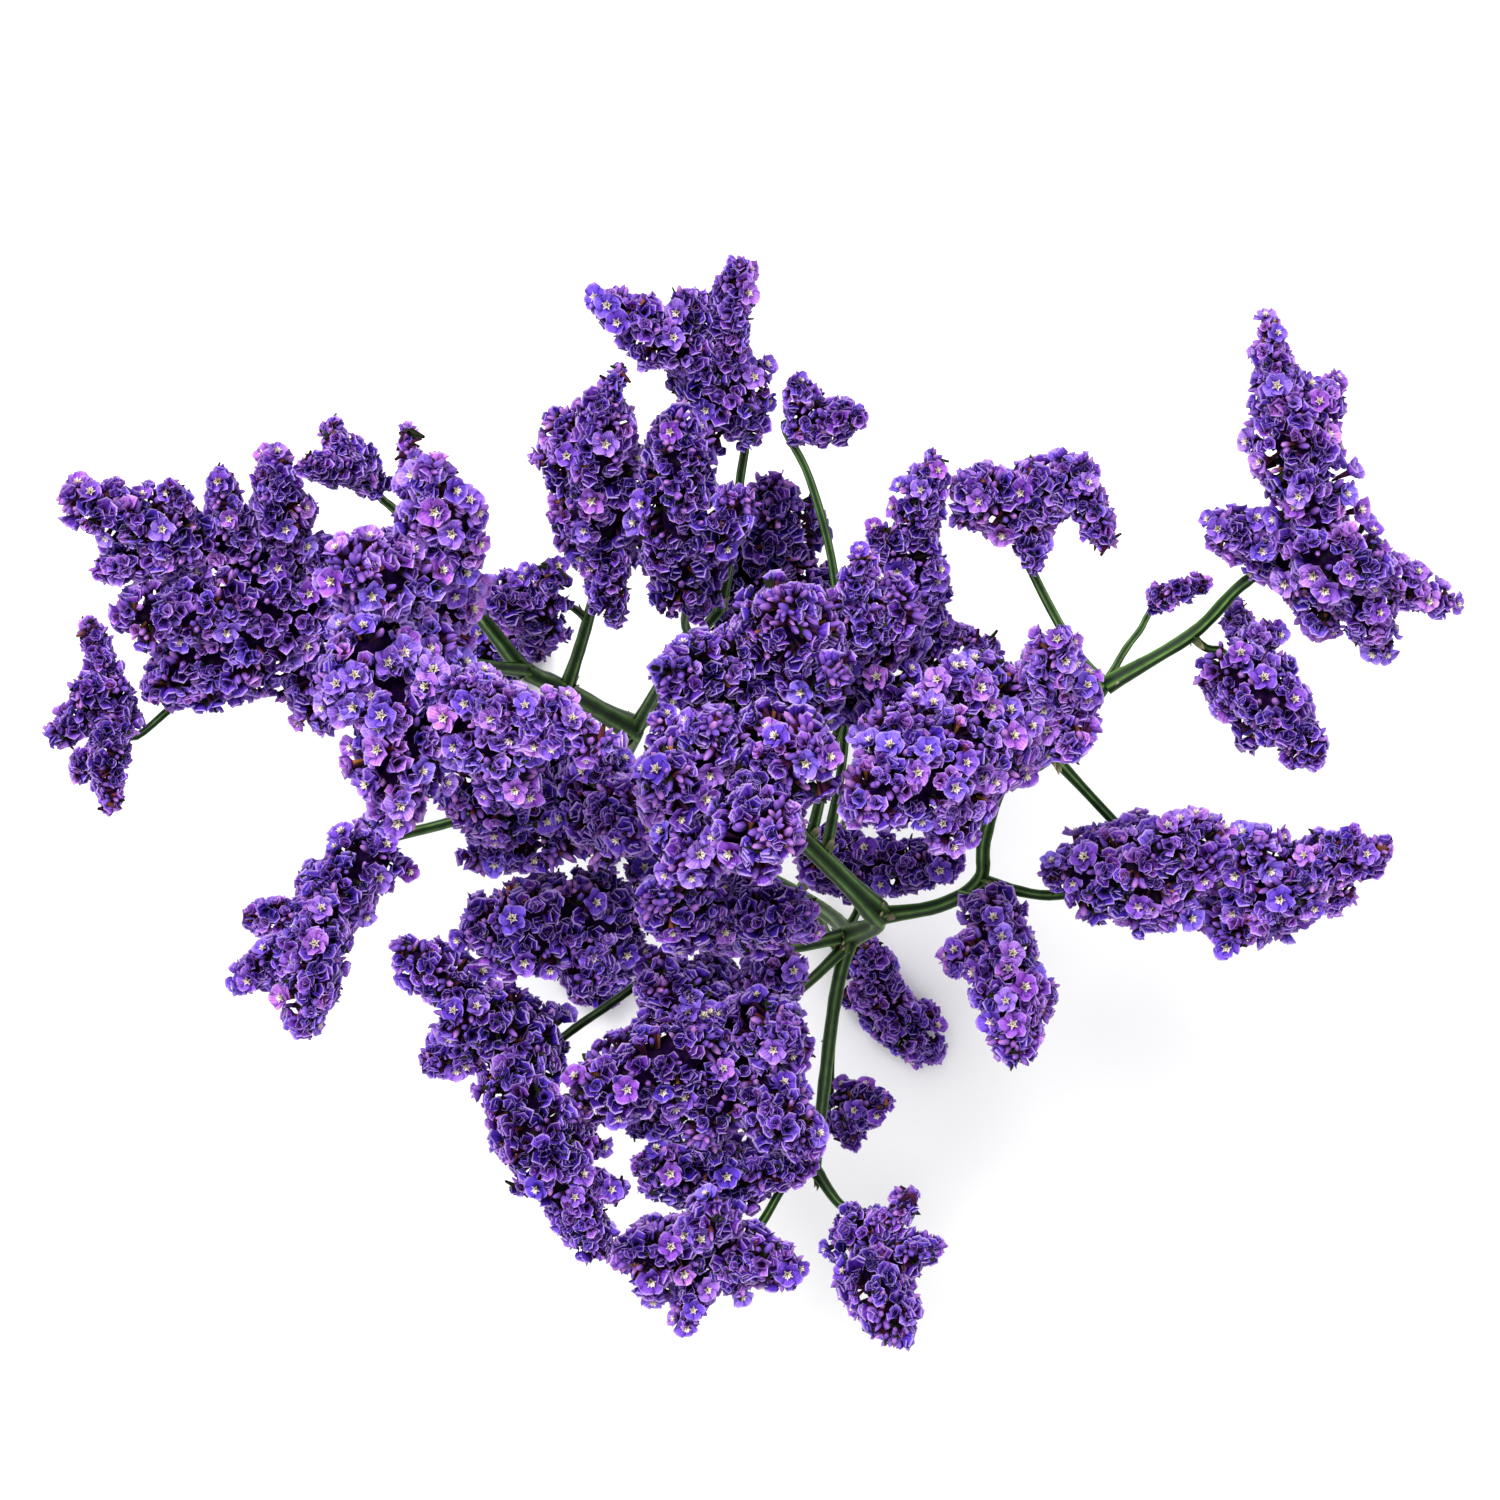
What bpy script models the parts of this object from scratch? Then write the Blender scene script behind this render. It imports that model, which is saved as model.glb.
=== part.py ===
"""A cut branch of dried statice, lying on its stem with its flower sprays facing up.

One green branching stem carries many violet sprays. A spray is a few short spikes that meet
at a fork, and a spike is a slim core whose surface is raised into florets and buds.
Places and sizes in the tables are millimetres; the meshes are in metres.
"""

import math
import random

import bmesh
import bpy
import numpy as np
from mathutils import Matrix, Vector
from mathutils.bvhtree import BVHTree

# Driving dimensions, in millimetres
MM = 0.001
EYE_HEIGHT = 620.0  # plan places and radii in the tables are as they show from here
MID_HEIGHT = 110.0  # and are true at this height over the table
CENTRE = (-1.99, -10.179)  # middle of the whole, left and right and front to back, in the tables' plan
PITCH = 9.9  # one floret or bud for each square of this side
FLORET_RADIUS = 5.2
PETALS = 5
NOTCH = 0.62  # depth between two petals, as a share of the radius
SPREAD = 1.1  # how far florets reach, as a share of the radius in the tables
CORE_SHARE = 0.52  # a spike's core, as a share of its radius
MIDDLE_SHARE = 0.75  # half-way up its florets
TIP_BACK = 0.2  # a spike's axis ends this far before its tip in the tables, as a share of its radius
SPIKE_ARCH = 0.07  # rise of a spike's middle over its chord, as a share of its length
SPRAY_GAP = 0.5  # left free between two sprays
STEM_GAP = 0.6  # left free between a spray and the stem beside it
SEAT_GAP = 0.35  # between a branch's end and the core that sits on it
SEAT_RUN = 2.5  # straight end of a branch, in line with the spike on it
EASE_ROUNDS = 9  # tries at shortening what crosses its neighbour
EASE_STEP = 0.85
LEAST_SHARE = 0.3  # what is shortened to this becomes a plain pointed bract
BARE_SHARE = 0.2  # and what still crosses at this is left off
HIDDEN_DEPTH = 0.6  # faces this close to another core of their spray stay bare
FLORET_DRAW = 0.55  # share of faces that may hold an open floret
BUD_DRAW = 0.8  # up to this share the rest are round buds, and above it pointed ones
UNDERSIDE = -0.2  # faces that look down more than this carry plain pointed bracts
BRACT_LENGTH = 4.2
BRACT_RADIUS = 1.1
BRACT_SEAT = 0.4  # how far along and under its branch a bract starts, in branch radii
BRACT_DROP = 0.9
FEW_POINTS = 5  # a limb with fewer points than this is smoothed to twice as many
THIN_BRANCH = 1.15  # branches under this radius at their start are three-cornered
THIN_SECTION = (1.3,) * 3  # reach of a section's corners, as shares of the radius
RIDGED_SECTION = (1.16, 0.84) * 3
SLEEVE_SECTION = (1.25,) * 4
SLEEVE_WIDTH = 0.35  # from a branch to the sleeve that florets keep out of

SWEEP_WELD = 0.01  # a swept branch's caps are welded to its walls within this
TABLE_SIDE = 600.0  # what rests is cut level by a slab of this side
TABLE_DEPTH = 100.0

# How florets, buds and bracts grow out of a core
LEAN_FOOT = 0.3  # lean along the spike at its foot
LEAN_RISE = 0.6  # and how much more it is at the tip
LIFT = 0.22  # they turn up to the light
GROW_JITTER = 0.12
LEAST_RISE = 0.6
SIZES = (0.85, 1.0)
SLIM_SPIKE = 3.5  # a spike slimmer than this has no open florets
FLORET_SPIKE_SHARE = 0.62  # an open floret's radius is at most this share of its spike's
EASED_RIM = 0.45  # share of the rim's radius that shortening leaves
PETAL_RISE = 0.08  # of the petals' tips, as a share of the floret's radius
NOTCH_DROP = 0.05
DISH = 0.32  # depth of the floret's middle
BUD_HEIGHT = 0.9  # of the reach that the spike leaves
BUD_BULGE = 0.86
BUD_WAIST = 0.62  # where a bud is widest, as a share of its height
BRACT_HEIGHT = 0.8
TIP_LENGTH = 4.0
TIP_SHARE = 0.45
PLUMB = (0.05, 0.02, 1)  # nearly upright, so that no spike runs along it
NEAR_RADII = 2.2  # rivals and stems within this many radii of a spike are looked at
BESIDE_RADII = 2.5
BESIDE = 4.0

VIOLET = (0.16, 0.07, 0.42, 1)
VIOLET_ROUGHNESS = 0.7
GREEN = (0.06, 0.12, 0.04, 1)
GREEN_ROUGHNESS = 0.6

# Each spray: (start, tip, radius) of its spikes. The first spike sits on a branch of the stem,
# and each later one starts on the nearest axis before it.
SPRAYS = {
    "spray_left": [
        ((-74, 26, 92), (-112, 42, 112), 9.0),
        ((-108, 40, 110), (-137, 51, 122), 7.5),
        ((-110, 40, 111), (-130, 36, 116), 6.3),
        ((-110, 41, 111), (-116, 54, 122), 4.0),
        ((-103, 38, 108), (-106, 56, 121), 5.5),
        ((-94, 35, 104), (-95, 59, 118), 7.0),
        ((-84, 30, 97), (-85, 41, 110), 6.2),
        ((-78, 26, 94), (-126, 27, 114), 9.0),
        ((-74, 25, 92), (-119, 13, 102), 10.5),
        ((-88, 21, 95), (-85, 5, 94), 8.0),
    ],
    "spray_left_upper": [
        ((-75, 52, 108), (-85, 65, 118), 5.3),
        ((-76, 53, 110), (-90, 57, 122), 4.7),
    ],
    "spray_far_left": [
        ((-124, 5, 102), (-133, 26, 108), 4.8),
        ((-125, 6, 103), (-135, 13, 110), 6.0),
        ((-124, 5, 102), (-140, 3, 108), 5.0),
        ((-124, 5, 102), (-128, -12, 110), 5.0),
        ((-126, 3, 103), (-135, -6, 108), 4.2),
    ],
    "spray_lower_left": [
        ((-73, -19, 99), (-88, -33, 112), 8.5),
        ((-84, -30, 108), (-89.5, -56, 120), 7.5),
        ((-88, -36, 110), (-101, -34, 112), 5.0),
        ((-86, -38, 110), (-102, -47, 114), 6.0),
    ],
    "spray_near_left": [
        ((-63, 22, 142), (-64, 57, 178), 9.0),
        ((-63, 28, 146), (-81, 36, 178), 12.0),
        ((-63, 24, 143), (-82, 11, 176), 12.0),
        ((-66, 16, 160), (-71, -14, 172), 11.0),
        ((-66, 11, 163), (-28, 1.5, 182), 7.5),
        ((-50, 8, 160), (-45, -8, 172), 8.5),
        ((-62, 40, 160), (-69, 65, 170), 4.5),
        ((-62, 33, 152), (-56, 50, 174), 7.5),
        ((-61, 16, 156), (-58, 0, 174), 9.0),
    ],
    "spray_centre_left": [
        ((-38, -5, 104), (-22, -17, 138), 10.5),
        ((-38, -6, 108), (-60, -10, 134), 10.0),
        ((-37, -5, 106), (-30, -3, 134), 7.0),
        ((-38, -6, 106), (-55, -22, 120), 8.5),
        ((-37, -6, 106), (-40, -21, 122), 9.0),
        ((-38, -6, 108), (-52, 2, 128), 7.5),
    ],
    "spray_top_left": [
        ((-30, 38, 99), (-29.5, 70, 122), 9.2),
        ((-29, 62, 118), (-26, 77, 124), 4.2),
        ((-30, 42, 101), (-37, 67, 118), 8.5),
        ((-30, 40, 100), (-38, 48, 112), 8.0),
        ((-30, 42, 101), (-24, 58, 116), 7.5),
        ((-30, 38, 100), (-27, 26, 106), 5.5),
    ],
    "spray_top_left_side": [
        ((-39, 29, 92), (-54, 31, 100), 7.0),
        ((-41, 29, 92), (-39, 37, 102), 4.8),
        ((-43, 29, 91), (-42, 20, 82), 6.0),
    ],
    "spray_top_middle": [
        ((-13, 30, 100), (-15, 66, 122), 9.5),
        ((-13, 34, 102), (-1, 51, 118), 7.5),
    ],
    "spray_top": [
        ((-2, 64, 102), (-11, 80, 114), 9.0),
        ((-6, 72, 108), (-2, 98, 122), 5.6),
        ((-8, 78, 112), (-29.5, 90, 120), 7.0),
        ((-8, 78, 112), (-14, 91, 120), 6.5),
        ((-6, 73, 108), (-18, 78.5, 112), 4.2),
        ((-2, 65, 102), (2, 77, 110), 6.0),
    ],
    "spray_top_right": [
        ((9, 65, 106), (22, 67, 114), 6.0),
        ((9, 65, 106), (9, 74, 114), 4.6),
    ],
    "spray_top_low": [
        ((2, 24, 54), (5, 52, 76), 11.0),
        ((2, 28, 58), (-10, 38, 74), 8.5),
        ((2, 26, 55), (18, 30, 70), 9.0),
    ],
    "spray_centre_upper": [
        ((4, 10, 120), (8, 30, 144), 12.0),
        ((4, 11, 121), (-17, 15, 146), 10.0),
        ((4, 11, 121), (17, 15, 144), 9.5),
    ],
    "spray_centre_near": [
        ((-2, -8, 128), (-18, -6, 162), 12.0),
        ((-2, -8, 130), (13, 0, 162), 12.0),
        ((-2, -9, 130), (5, -18, 168), 11.0),
        ((-3, -9, 130), (-13, -22, 158), 11.0),
        ((-2, -8, 130), (-9, 5, 162), 9.5),
        ((-8, -2, 148), (-19, 6, 154), 6.5),
    ],
    "spray_centre_right": [
        ((20, 10, 112), (30, 32, 132), 9.5),
        ((20, 11, 113), (34, 5, 128), 9.0),
        ((20, 10, 112), (21, 30, 134), 9.5),
        ((22, 26, 131), (22, 40, 136), 5.0),
    ],
    "spray_centre_lower": [
        ((-4, -32, 106), (-19, -30, 130), 10.0),
        ((-12, -31, 112), (-24, -24, 116), 6.5),
        ((-4, -32, 107), (11, -33, 126), 8.5),
        ((6, -33, 118), (13, -36, 120), 5.0),
    ],
    "spray_right_upper_left": [
        ((35.5, 16, 94), (32, 53, 118), 6.5),
        ((33, 43, 110), (37, 59, 118), 5.2),
        ((33, 34, 106), (25, 44, 116), 6.5),
        ((35, 22, 96), (50, 20, 102), 3.8),
    ],
    "spray_right_upper": [
        ((54, 45, 106), (58, 55, 118), 8.0),
        ((54, 46, 108), (41.5, 54, 117), 8.0),
        ((50, 48, 112), (41, 46, 113), 5.4),
        ((56, 48, 111), (68, 57, 118), 7.0),
        ((66, 51, 115), (72, 41, 116), 5.5),
        ((54, 45, 108), (57, 36, 114), 5.0),
    ],
    "spray_right_small": [
        ((80.5, 28.5, 109), (83, 33, 112), 3.4),
        ((82, 31, 110), (92, 33.5, 114), 3.8),
    ],
    "spray_far_right": [
        ((104, 37, 117), (115, 44, 126), 8.0),
        ((113, 44, 123), (104, 77, 134), 9.0),
        ((106, 68, 130), (103, 86, 136), 5.0),
        ((106, 60, 128), (117, 74, 134), 5.5),
        ((105, 38, 118), (92.5, 46, 124), 7.0),
        ((108, 40, 121), (127, 36, 130), 9.0),
        ((110, 40, 121), (140, 29, 124), 6.0),
        ((118, 36, 122), (127, 20, 118), 6.5),
        ((110, 40, 120), (116, 25, 118), 8.0),
    ],
    "spray_right": [
        ((96, 18, 107), (109, 3, 116), 9.5),
        ((105, 8, 113), (113.5, -2.5, 117), 5.8),
        ((96, 18, 108), (97, 30, 103), 5.0),
        ((98, 17, 109), (105, 25, 110), 5.5),
    ],
    "spray_right_centre": [
        ((53, 1, 126), (62, 22.5, 158), 7.5),
        ((53, 2, 128), (38, 14, 152), 9.5),
        ((54, 6, 136), (67.5, 13, 150), 7.5),
        ((53, 1, 126), (67, 2, 148), 7.0),
        ((53, 1, 127), (55, -1, 150), 6.5),
        ((52, 0, 128), (38, -6, 154), 10.0),
        ((46, -2, 140), (21, -10, 156), 11.5),
        ((48, 1, 136), (23, 3, 151), 9.0),
        ((46, -3, 144), (37, -19, 152), 7.5),
    ],
    "spray_under_centre": [
        ((22, -26, 58), (11, -18, 68), 7.5),
        ((23, -24, 58), (41.5, -21.5, 68), 6.8),
    ],
    "spray_right_lower": [
        ((66, -26, 106), (94, -19.5, 120), 10.8),
        ((68, -27, 106), (59, -24, 113), 5.8),
        ((74, -27, 109), (86, -33, 116), 8.0),
    ],
    "spray_right_lower_tip": [
        ((95, -28, 103), (113, -25.5, 121), 10.5),
        ((98, -27, 107), (96, -39, 114), 7.5),
        ((100, -26, 109), (101, -18, 121), 8.0),
        ((106, -25, 115), (127.9, -19.5, 121), 6.0),
        ((106, -25, 115), (121, -17, 123), 5.5),
        ((106, -25, 115), (121, -30, 118), 5.0),
        ((99, -28, 111), (110, -34, 114), 6.0),
    ],
    "spray_lower_right": [
        ((48, -30, 101), (54, -61, 118), 8.0),
        ((49, -42, 108), (59, -53, 114), 6.0),
        ((48, -34, 104), (40, -44, 112), 6.5),
    ],
    "spray_bottom_right": [
        ((22, -94, 104), (29.5, -118, 120), 8.0),
        ((23, -97, 106), (33, -88, 116), 4.6),
        ((26, -104, 110), (38, -99, 116), 5.5),
        ((24, -98, 107), (19, -106, 114), 5.4),
    ],
    "spray_low_right": [
        ((22, -46, 4.2), (37, -60.5, 3.2), 6.7),
        ((26, -48, 4), (22.5, -38, 12), 6.0),
    ],
    "spray_low_middle": [
        ((17, -73, 62), (27.5, -69.5, 70), 5.6),
        ((19, -72, 63), (20, -79, 69), 4.4),
    ],
    "spray_lower_middle": [
        ((2, -54, 88), (-14, -60, 112), 11.5),
        ((2, -54, 88), (-20, -47, 108), 9.5),
        ((2, -54, 88), (7, -40, 104), 8.0),
        ((2, -54, 89), (6.5, -57.5, 116), 9.8),
        ((2, -56, 91), (4, -74, 112), 9.0),
        ((3, -66, 106), (12, -80, 114), 8.0),
        ((-10, -60, 106), (-35, -70.5, 114), 9.3),
        ((-6, -60, 100), (-9, -78, 110), 9.5),
        ((-8, -64, 102), (-23, -76, 105), 6.5),
        ((-4, -52, 94), (-10, -42, 104), 7.0),
        ((-10, -50, 100), (-21, -41, 105), 6.0),
    ],
    "spray_lower_centre_left": [
        ((-24, -34, 102), (-56, -36, 116), 10.5),
        ((-30, -35, 106), (-34, -48, 112), 8.0),
        ((-28, -35, 104), (-37, -28, 114), 8.5),
        ((-32, -34, 106), (-46, -28, 113), 6.5),
        ((-26, -33, 104), (-30, -24, 108), 6.5),
    ],
    "spray_bottom_left": [
        ((-41, -58, 99), (-60, -53, 114), 9.5),
        ((-46, -57, 101), (-70, -39, 112), 7.5),
        ((-42, -58, 100), (-48, -72, 114), 9.0),
        ((-44, -68, 108), (-35, -92, 118), 8.5),
        ((-42, -72, 110), (-30, -79, 112), 5.5),
        ((-40, -82, 114), (-47, -88, 116), 4.6),
        ((-39, -86, 115), (-25, -88, 117), 5.0),
        ((-50, -58, 104), (-65, -62, 108), 6.5),
        ((-37, -86, 115), (-29, -101, 117), 6.0),
    ],
    "spray_bottom_middle": [
        ((2, -85, 96), (-22, -83, 108), 8.0),
        ((1, -85, 97), (12.5, -82, 105), 6.0),
    ],
    "spray_bottom": [
        ((-4, -98, 108), (-26, -102, 120), 9.0),
        ((-5, -98, 109), (9, -104, 118), 7.0),
        ((-8, -98, 110), (-13, -115, 120), 5.5),
        ((-5, -99, 110), (-2, -109, 117), 5.0),
        ((-6, -98, 109), (-7, -91, 120), 7.0),
    ],
    "spray_low_left": [
        ((-36, -39, 3.4), (-28, -49, 3.4), 6.8),
        ((-33, -43, 4), (-22, -41, 12), 6.0),
    ],
    "spray_low_upper_left": [((-48, 16, 4), (-54, 30, 5), 7.5)],
    "spray_low_upper_right": [((33, 4, 3.4), (45, 12, 3.2), 6.0)],
}
RESTING = ("stem", "spray_low_right", "spray_low_left", "spray_low_upper_left", "spray_low_upper_right")

# Each branch: its points, the radius at its start and at its end, and the spray that it ends in.
# A branch starts on the axis of one above it in the list.
BRANCHES = {
    "main": ([(-115, 30, 1.7), (-85, 17, 1.7), (-52, 3, 1.8), (-22, -13, 3), (4, -26, 16),
              (16, -33, 40), (20, -37, 62)], 2.0, 1.7, None),
    "left_riser": ([(-22, -13, 3), (-26, -4, 24), (-23, 4, 56)], 1.9, 1.8, None),
    "right_limb": ([(20, -37, 62), (25, -35, 78), (26, -33, 86)], 1.9, 1.9, None),
    "centre_limb": ([(26, -33, 86), (18, -25, 96), (9, -16, 104), (3, -9, 110)], 2.1, 1.7, None),
    "right_reach": ([(26, -33, 86), (38, -31, 92), (46, -26, 96), (47, -18, 98), (51, -6, 101),
                     (59, -2, 104), (66, 6, 106), (71, 13, 108)], 1.4, 1.3, None),
    "far_reach": ([(20, -37, 62), (17, -50, 66), (14.5, -70, 80), (13, -84, 92)], 1.5, 1.1, None),
    "lower_limb": ([(20, -37, 62), (4, -40, 76), (-14, -37, 92)], 1.3, 1.1, None),
    "left_limb": ([(-23, 4, 56), (-31, 8.5, 66), (-38, 12.5, 77), (-45, 16, 85), (-50, 22, 91),
                   (-54, 27, 96)], 2.2, 1.4, None),
    "top_limb": ([(-23, 4, 56), (-16, 16, 76), (-6, 28, 86)], 1.3, 1.0, None),
    "lower_left_limb": ([(-23, 4, 56), (-30, 0, 66), (-42, -4, 76), (-56, -13, 90)], 1.2, 0.9,
                        "spray_lower_left"),
    "to_left": ([(-54, 27, 96), (-64, 26, 92)], 1.1, 0.9, "spray_left"),
    "to_left_upper": ([(-54, 27, 96), (-60, 38, 100), (-71, 48, 104)], 0.9, 0.7, "spray_left_upper"),
    "to_near_left": ([(-45, 16, 85), (-54, 17, 110), (-62, 19, 130)], 1.2, 0.9, "spray_near_left"),
    "to_far_left": ([(-60, 25, 93), (-74, 18, 84), (-92, 14, 84), (-110, 12, 93)], 0.9, 0.7,
                    "spray_far_left"),
    "to_centre_left": ([(-38, -3, 73), (-38, -4, 90)], 1.0, 0.8, "spray_centre_left"),
    "to_top_left": ([(-36, 13, 76), (-33, 24, 87)], 1.25, 1.0, "spray_top_left"),
    "to_top_left_side": ([(-33, 26, 88), (-35.5, 28.5, 90)], 0.7, 0.6, "spray_top_left_side"),
    "to_top_middle": ([(-10, 23, 81), (-13, 25, 90)], 0.9, 0.8, "spray_top_middle"),
    "to_top": ([(-6, 28, 86), (-3, 44, 94), (-2, 54, 98)], 1.0, 0.8, "spray_top"),
    "to_top_right": ([(15, -22, 98), (19, 4, 98), (17, 34, 102), (12, 54, 104)], 0.9, 0.7,
                     "spray_top_right"),
    "to_top_low": ([(-23, 4, 56), (-12, 14, 52)], 0.9, 0.8, "spray_top_low"),
    "to_centre_upper": ([(3, -9, 110), (4, 2, 114)], 1.0, 0.8, "spray_centre_upper"),
    "to_centre_near": ([(3, -9, 110), (0, -8, 118)], 1.0, 0.9, "spray_centre_near"),
    "to_centre_right": ([(12, -19, 101), (17, 2, 106)], 0.9, 0.8, "spray_centre_right"),
    "to_centre_lower": ([(4, -40, 76), (0, -33, 94)], 0.9, 0.8, "spray_centre_lower"),
    "to_right_upper_left": ([(66, 6, 106), (52, 7, 96), (40, 9, 91)], 0.8, 0.7, "spray_right_upper_left"),
    "to_right_upper": ([(71, 13, 108), (65, 20, 106), (58, 32.5, 104)], 1.0, 0.8, "spray_right_upper"),
    "to_right_small": ([(71, 13, 108), (75, 20, 107.5), (78, 24, 107)], 0.7, 0.6, "spray_right_small"),
    "to_far_right": ([(71, 13, 108), (88, 23, 110), (97, 32, 114)], 1.35, 1.0, "spray_far_right"),
    "to_right": ([(87, 22, 110), (91, 20.5, 107)], 0.8, 0.7, "spray_right"),
    "to_right_centre": ([(51, -6, 101), (52, -1, 114)], 1.0, 0.9, "spray_right_centre"),
    "to_under_centre": ([(20, -37, 60), (22, -31, 56)], 0.9, 0.8, "spray_under_centre"),
    "to_right_lower": ([(46, -26, 96), (58, -29, 101), (67, -28, 103)], 1.0, 0.9, "spray_right_lower"),
    "to_right_lower_tip": ([(60, -1.5, 104), (72, -13.5, 104), (82, -24, 96), (89, -28, 97)], 0.9, 0.8,
                           "spray_right_lower_tip"),
    "to_lower_right": ([(42, -28, 94), (45, -29, 98)], 1.0, 0.9, "spray_lower_right"),
    "to_bottom_right": ([(13, -84, 92), (18, -91, 100)], 1.0, 0.9, "spray_bottom_right"),
    "to_low_right": ([(12, -33, 30), (16, -38, 13)], 0.9, 0.8, "spray_low_right"),
    "to_low_middle": ([(16, -58, 70), (16, -69, 62)], 0.8, 0.7, "spray_low_middle"),
    "to_lower_middle": ([(19, -40, 62), (10, -48, 72), (3, -52, 82)], 1.1, 0.9, "spray_lower_middle"),
    "to_lower_centre_left": ([(-14, -37, 92), (-19, -35, 98)], 1.0, 0.9, "spray_lower_centre_left"),
    "to_bottom_left": ([(-10, -38, 88), (-24, -48, 90), (-34, -55, 94)], 0.9, 0.8, "spray_bottom_left"),
    "to_bottom_middle": ([(13, -84, 92), (8, -85, 93)], 0.8, 0.7, "spray_bottom_middle"),
    "to_bottom": ([(13, -79, 88), (8, -85, 96), (2, -95, 105)], 0.9, 0.8, "spray_bottom"),
    "to_low_left": ([(-22, -13, 3), (-31, -24, 3.4), (-37, -34, 3.4)], 1.0, 0.8, "spray_low_left"),
    "to_low_upper_left": ([(-52, 3, 1.8), (-51, 11, 3.4)], 0.9, 0.8, "spray_low_upper_left"),
    "to_low_upper_right": ([(8, -30, 22), (22, -10, 7)], 0.9, 0.8, "spray_low_upper_right"),
}

AXIS_STEPS = 9
SEAT_STEPS = 2  # a spike forks from another no nearer its start than this many steps
CORE_SHAPE = ((0.0, 0.55), (0.12, 0.95), (0.35, 1.0), (0.7, 0.95), (0.9, 0.7), (1.0, 0.45))


def unit(vector):
    return vector / max(np.linalg.norm(vector), 1e-9)


def scale_at(z):
    return (EYE_HEIGHT - z) / (EYE_HEIGHT - MID_HEIGHT)


def seen(place):
    """The true place, from the middle of the whole, of one whose plan is as it shows from EYE_HEIGHT."""
    x, y, z = place
    return np.array([x * scale_at(z) - CENTRE[0], y * scale_at(z) - CENTRE[1], z])


def nearest(points, place):
    return points[np.argmin(np.linalg.norm(points - place, axis=1))]


class Spike:
    """One flower spike: a curved axis, and the radius of its core and of its florets along it."""

    def __init__(self, spray, start, tip, radius, earlier):
        self.spray = spray
        self.name = f"{spray}_{len(earlier)}"
        self.first = not earlier
        start, tip = seen(start), seen(tip)
        tip = tip - TIP_BACK * radius * unit(tip - start)
        if earlier:
            start = nearest(np.concatenate([spike.axis[SEAT_STEPS:] for spike in earlier]), start)
        self.radius = SPREAD * radius * scale_at(tip[2])
        self.length = np.linalg.norm(tip - start)
        crest = (start + tip) / 2 + np.array([0, 0, 2 * SPIKE_ARCH * self.length])
        steps = np.linspace(0, 1, AXIS_STEPS)[:, None]
        self.axis = (1 - steps) ** 2 * start + 2 * steps * (1 - steps) * crest + steps**2 * tip
        self.rows = max(2, round(self.length / PITCH))
        self.sides = max(4, round(2 * math.pi * MIDDLE_SHARE * self.radius / PITCH))

    def core_radius(self, along):
        shape = np.interp(along, *zip(*CORE_SHAPE))
        return self.radius * CORE_SHARE * shape

    def place(self, along):
        """The axis point, and the frame there: tangent, side and up."""
        spot = along * (AXIS_STEPS - 1)
        low = min(int(spot), AXIS_STEPS - 2)
        point = self.axis[low] + (spot - low) * (self.axis[low + 1] - self.axis[low])
        ahead = self.axis[min(low + 2, AXIS_STEPS - 1)] - self.axis[max(low - 1, 0)]
        tangent = unit(ahead)
        side = unit(np.cross(tangent, PLUMB))
        return point, tangent, side, np.cross(side, tangent)

    def depth(self, points):
        """How far each point lies outside this spike's core, less than zero inside it."""
        starts, ends = self.axis[:-1], self.axis[1:]
        runs = ends - starts
        share = np.einsum("psk,sk->ps", points[:, None] - starts, runs) / (runs**2).sum(1)
        share = np.clip(share, 0, 1)
        gaps = np.linalg.norm(points[:, None] - (starts + share[..., None] * runs), axis=2)
        along = (np.arange(AXIS_STEPS - 1) + share) / (AXIS_STEPS - 1)
        return (gaps - self.core_radius(along)).min(axis=1)


class Solid:
    """Points and faces that a mesh is made from, each face with the floret or bud that owns it."""

    def __init__(self):
        self.points = []
        self.faces = []
        self.owners = []
        self.owner = None

    def face(self, *corners):
        self.faces.append(corners)
        self.owners.append(self.owner)

    def add(self, points):
        first = len(self.points)
        self.points.extend(points)
        return list(range(first, len(self.points)))

    def bridge(self, lower, upper):
        """Walls between two closed loops, each listed the same way round."""
        low = high = 0
        while low < len(lower) or high < len(upper):
            here, above = lower[low % len(lower)], upper[high % len(upper)]
            if high == len(upper) or low < len(lower) and (low + 1) / len(lower) <= (high + 1) / len(upper):
                low += 1
                self.face(here, lower[low % len(lower)], above)
            else:
                high += 1
                self.face(here, upper[high % len(upper)], above)

    def cone(self, loop, point):
        (top,) = self.add([point])
        for here, after in zip(loop, loop[1:] + loop[:1]):
            self.face(here, after, top)

    def cap(self, loop):
        for here, after in zip(loop[1:], loop[2:]):
            self.face(loop[0], here, after)


def bud_rings(corners, grow, height):
    """A bud: widest past its middle, with a pointed top."""
    middle = corners.mean(axis=0)
    bulge = middle + (corners - middle) * BUD_BULGE + grow * height * BUD_WAIST
    return [bulge], middle + grow * height


def floret_rings(corners, grow, height, radius):
    """An open floret: a funnel that widens to a notched rim round a dished centre."""
    middle = corners.mean(axis=0)
    first = corners[0] - middle
    across = unit(first - grow * first.dot(grow))
    along = np.cross(grow, across)
    rim = []
    for step in range(2 * PETALS):
        turn = math.pi * step / PETALS
        reach = radius * (1 if step % 2 == 0 else NOTCH)
        rise = height + (PETAL_RISE if step % 2 == 0 else -NOTCH_DROP) * radius
        rim.append(middle + grow * rise + reach * (math.cos(turn) * across + math.sin(turn) * along))
    return [np.array(rim)], middle + grow * (height - DISH * radius)


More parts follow.
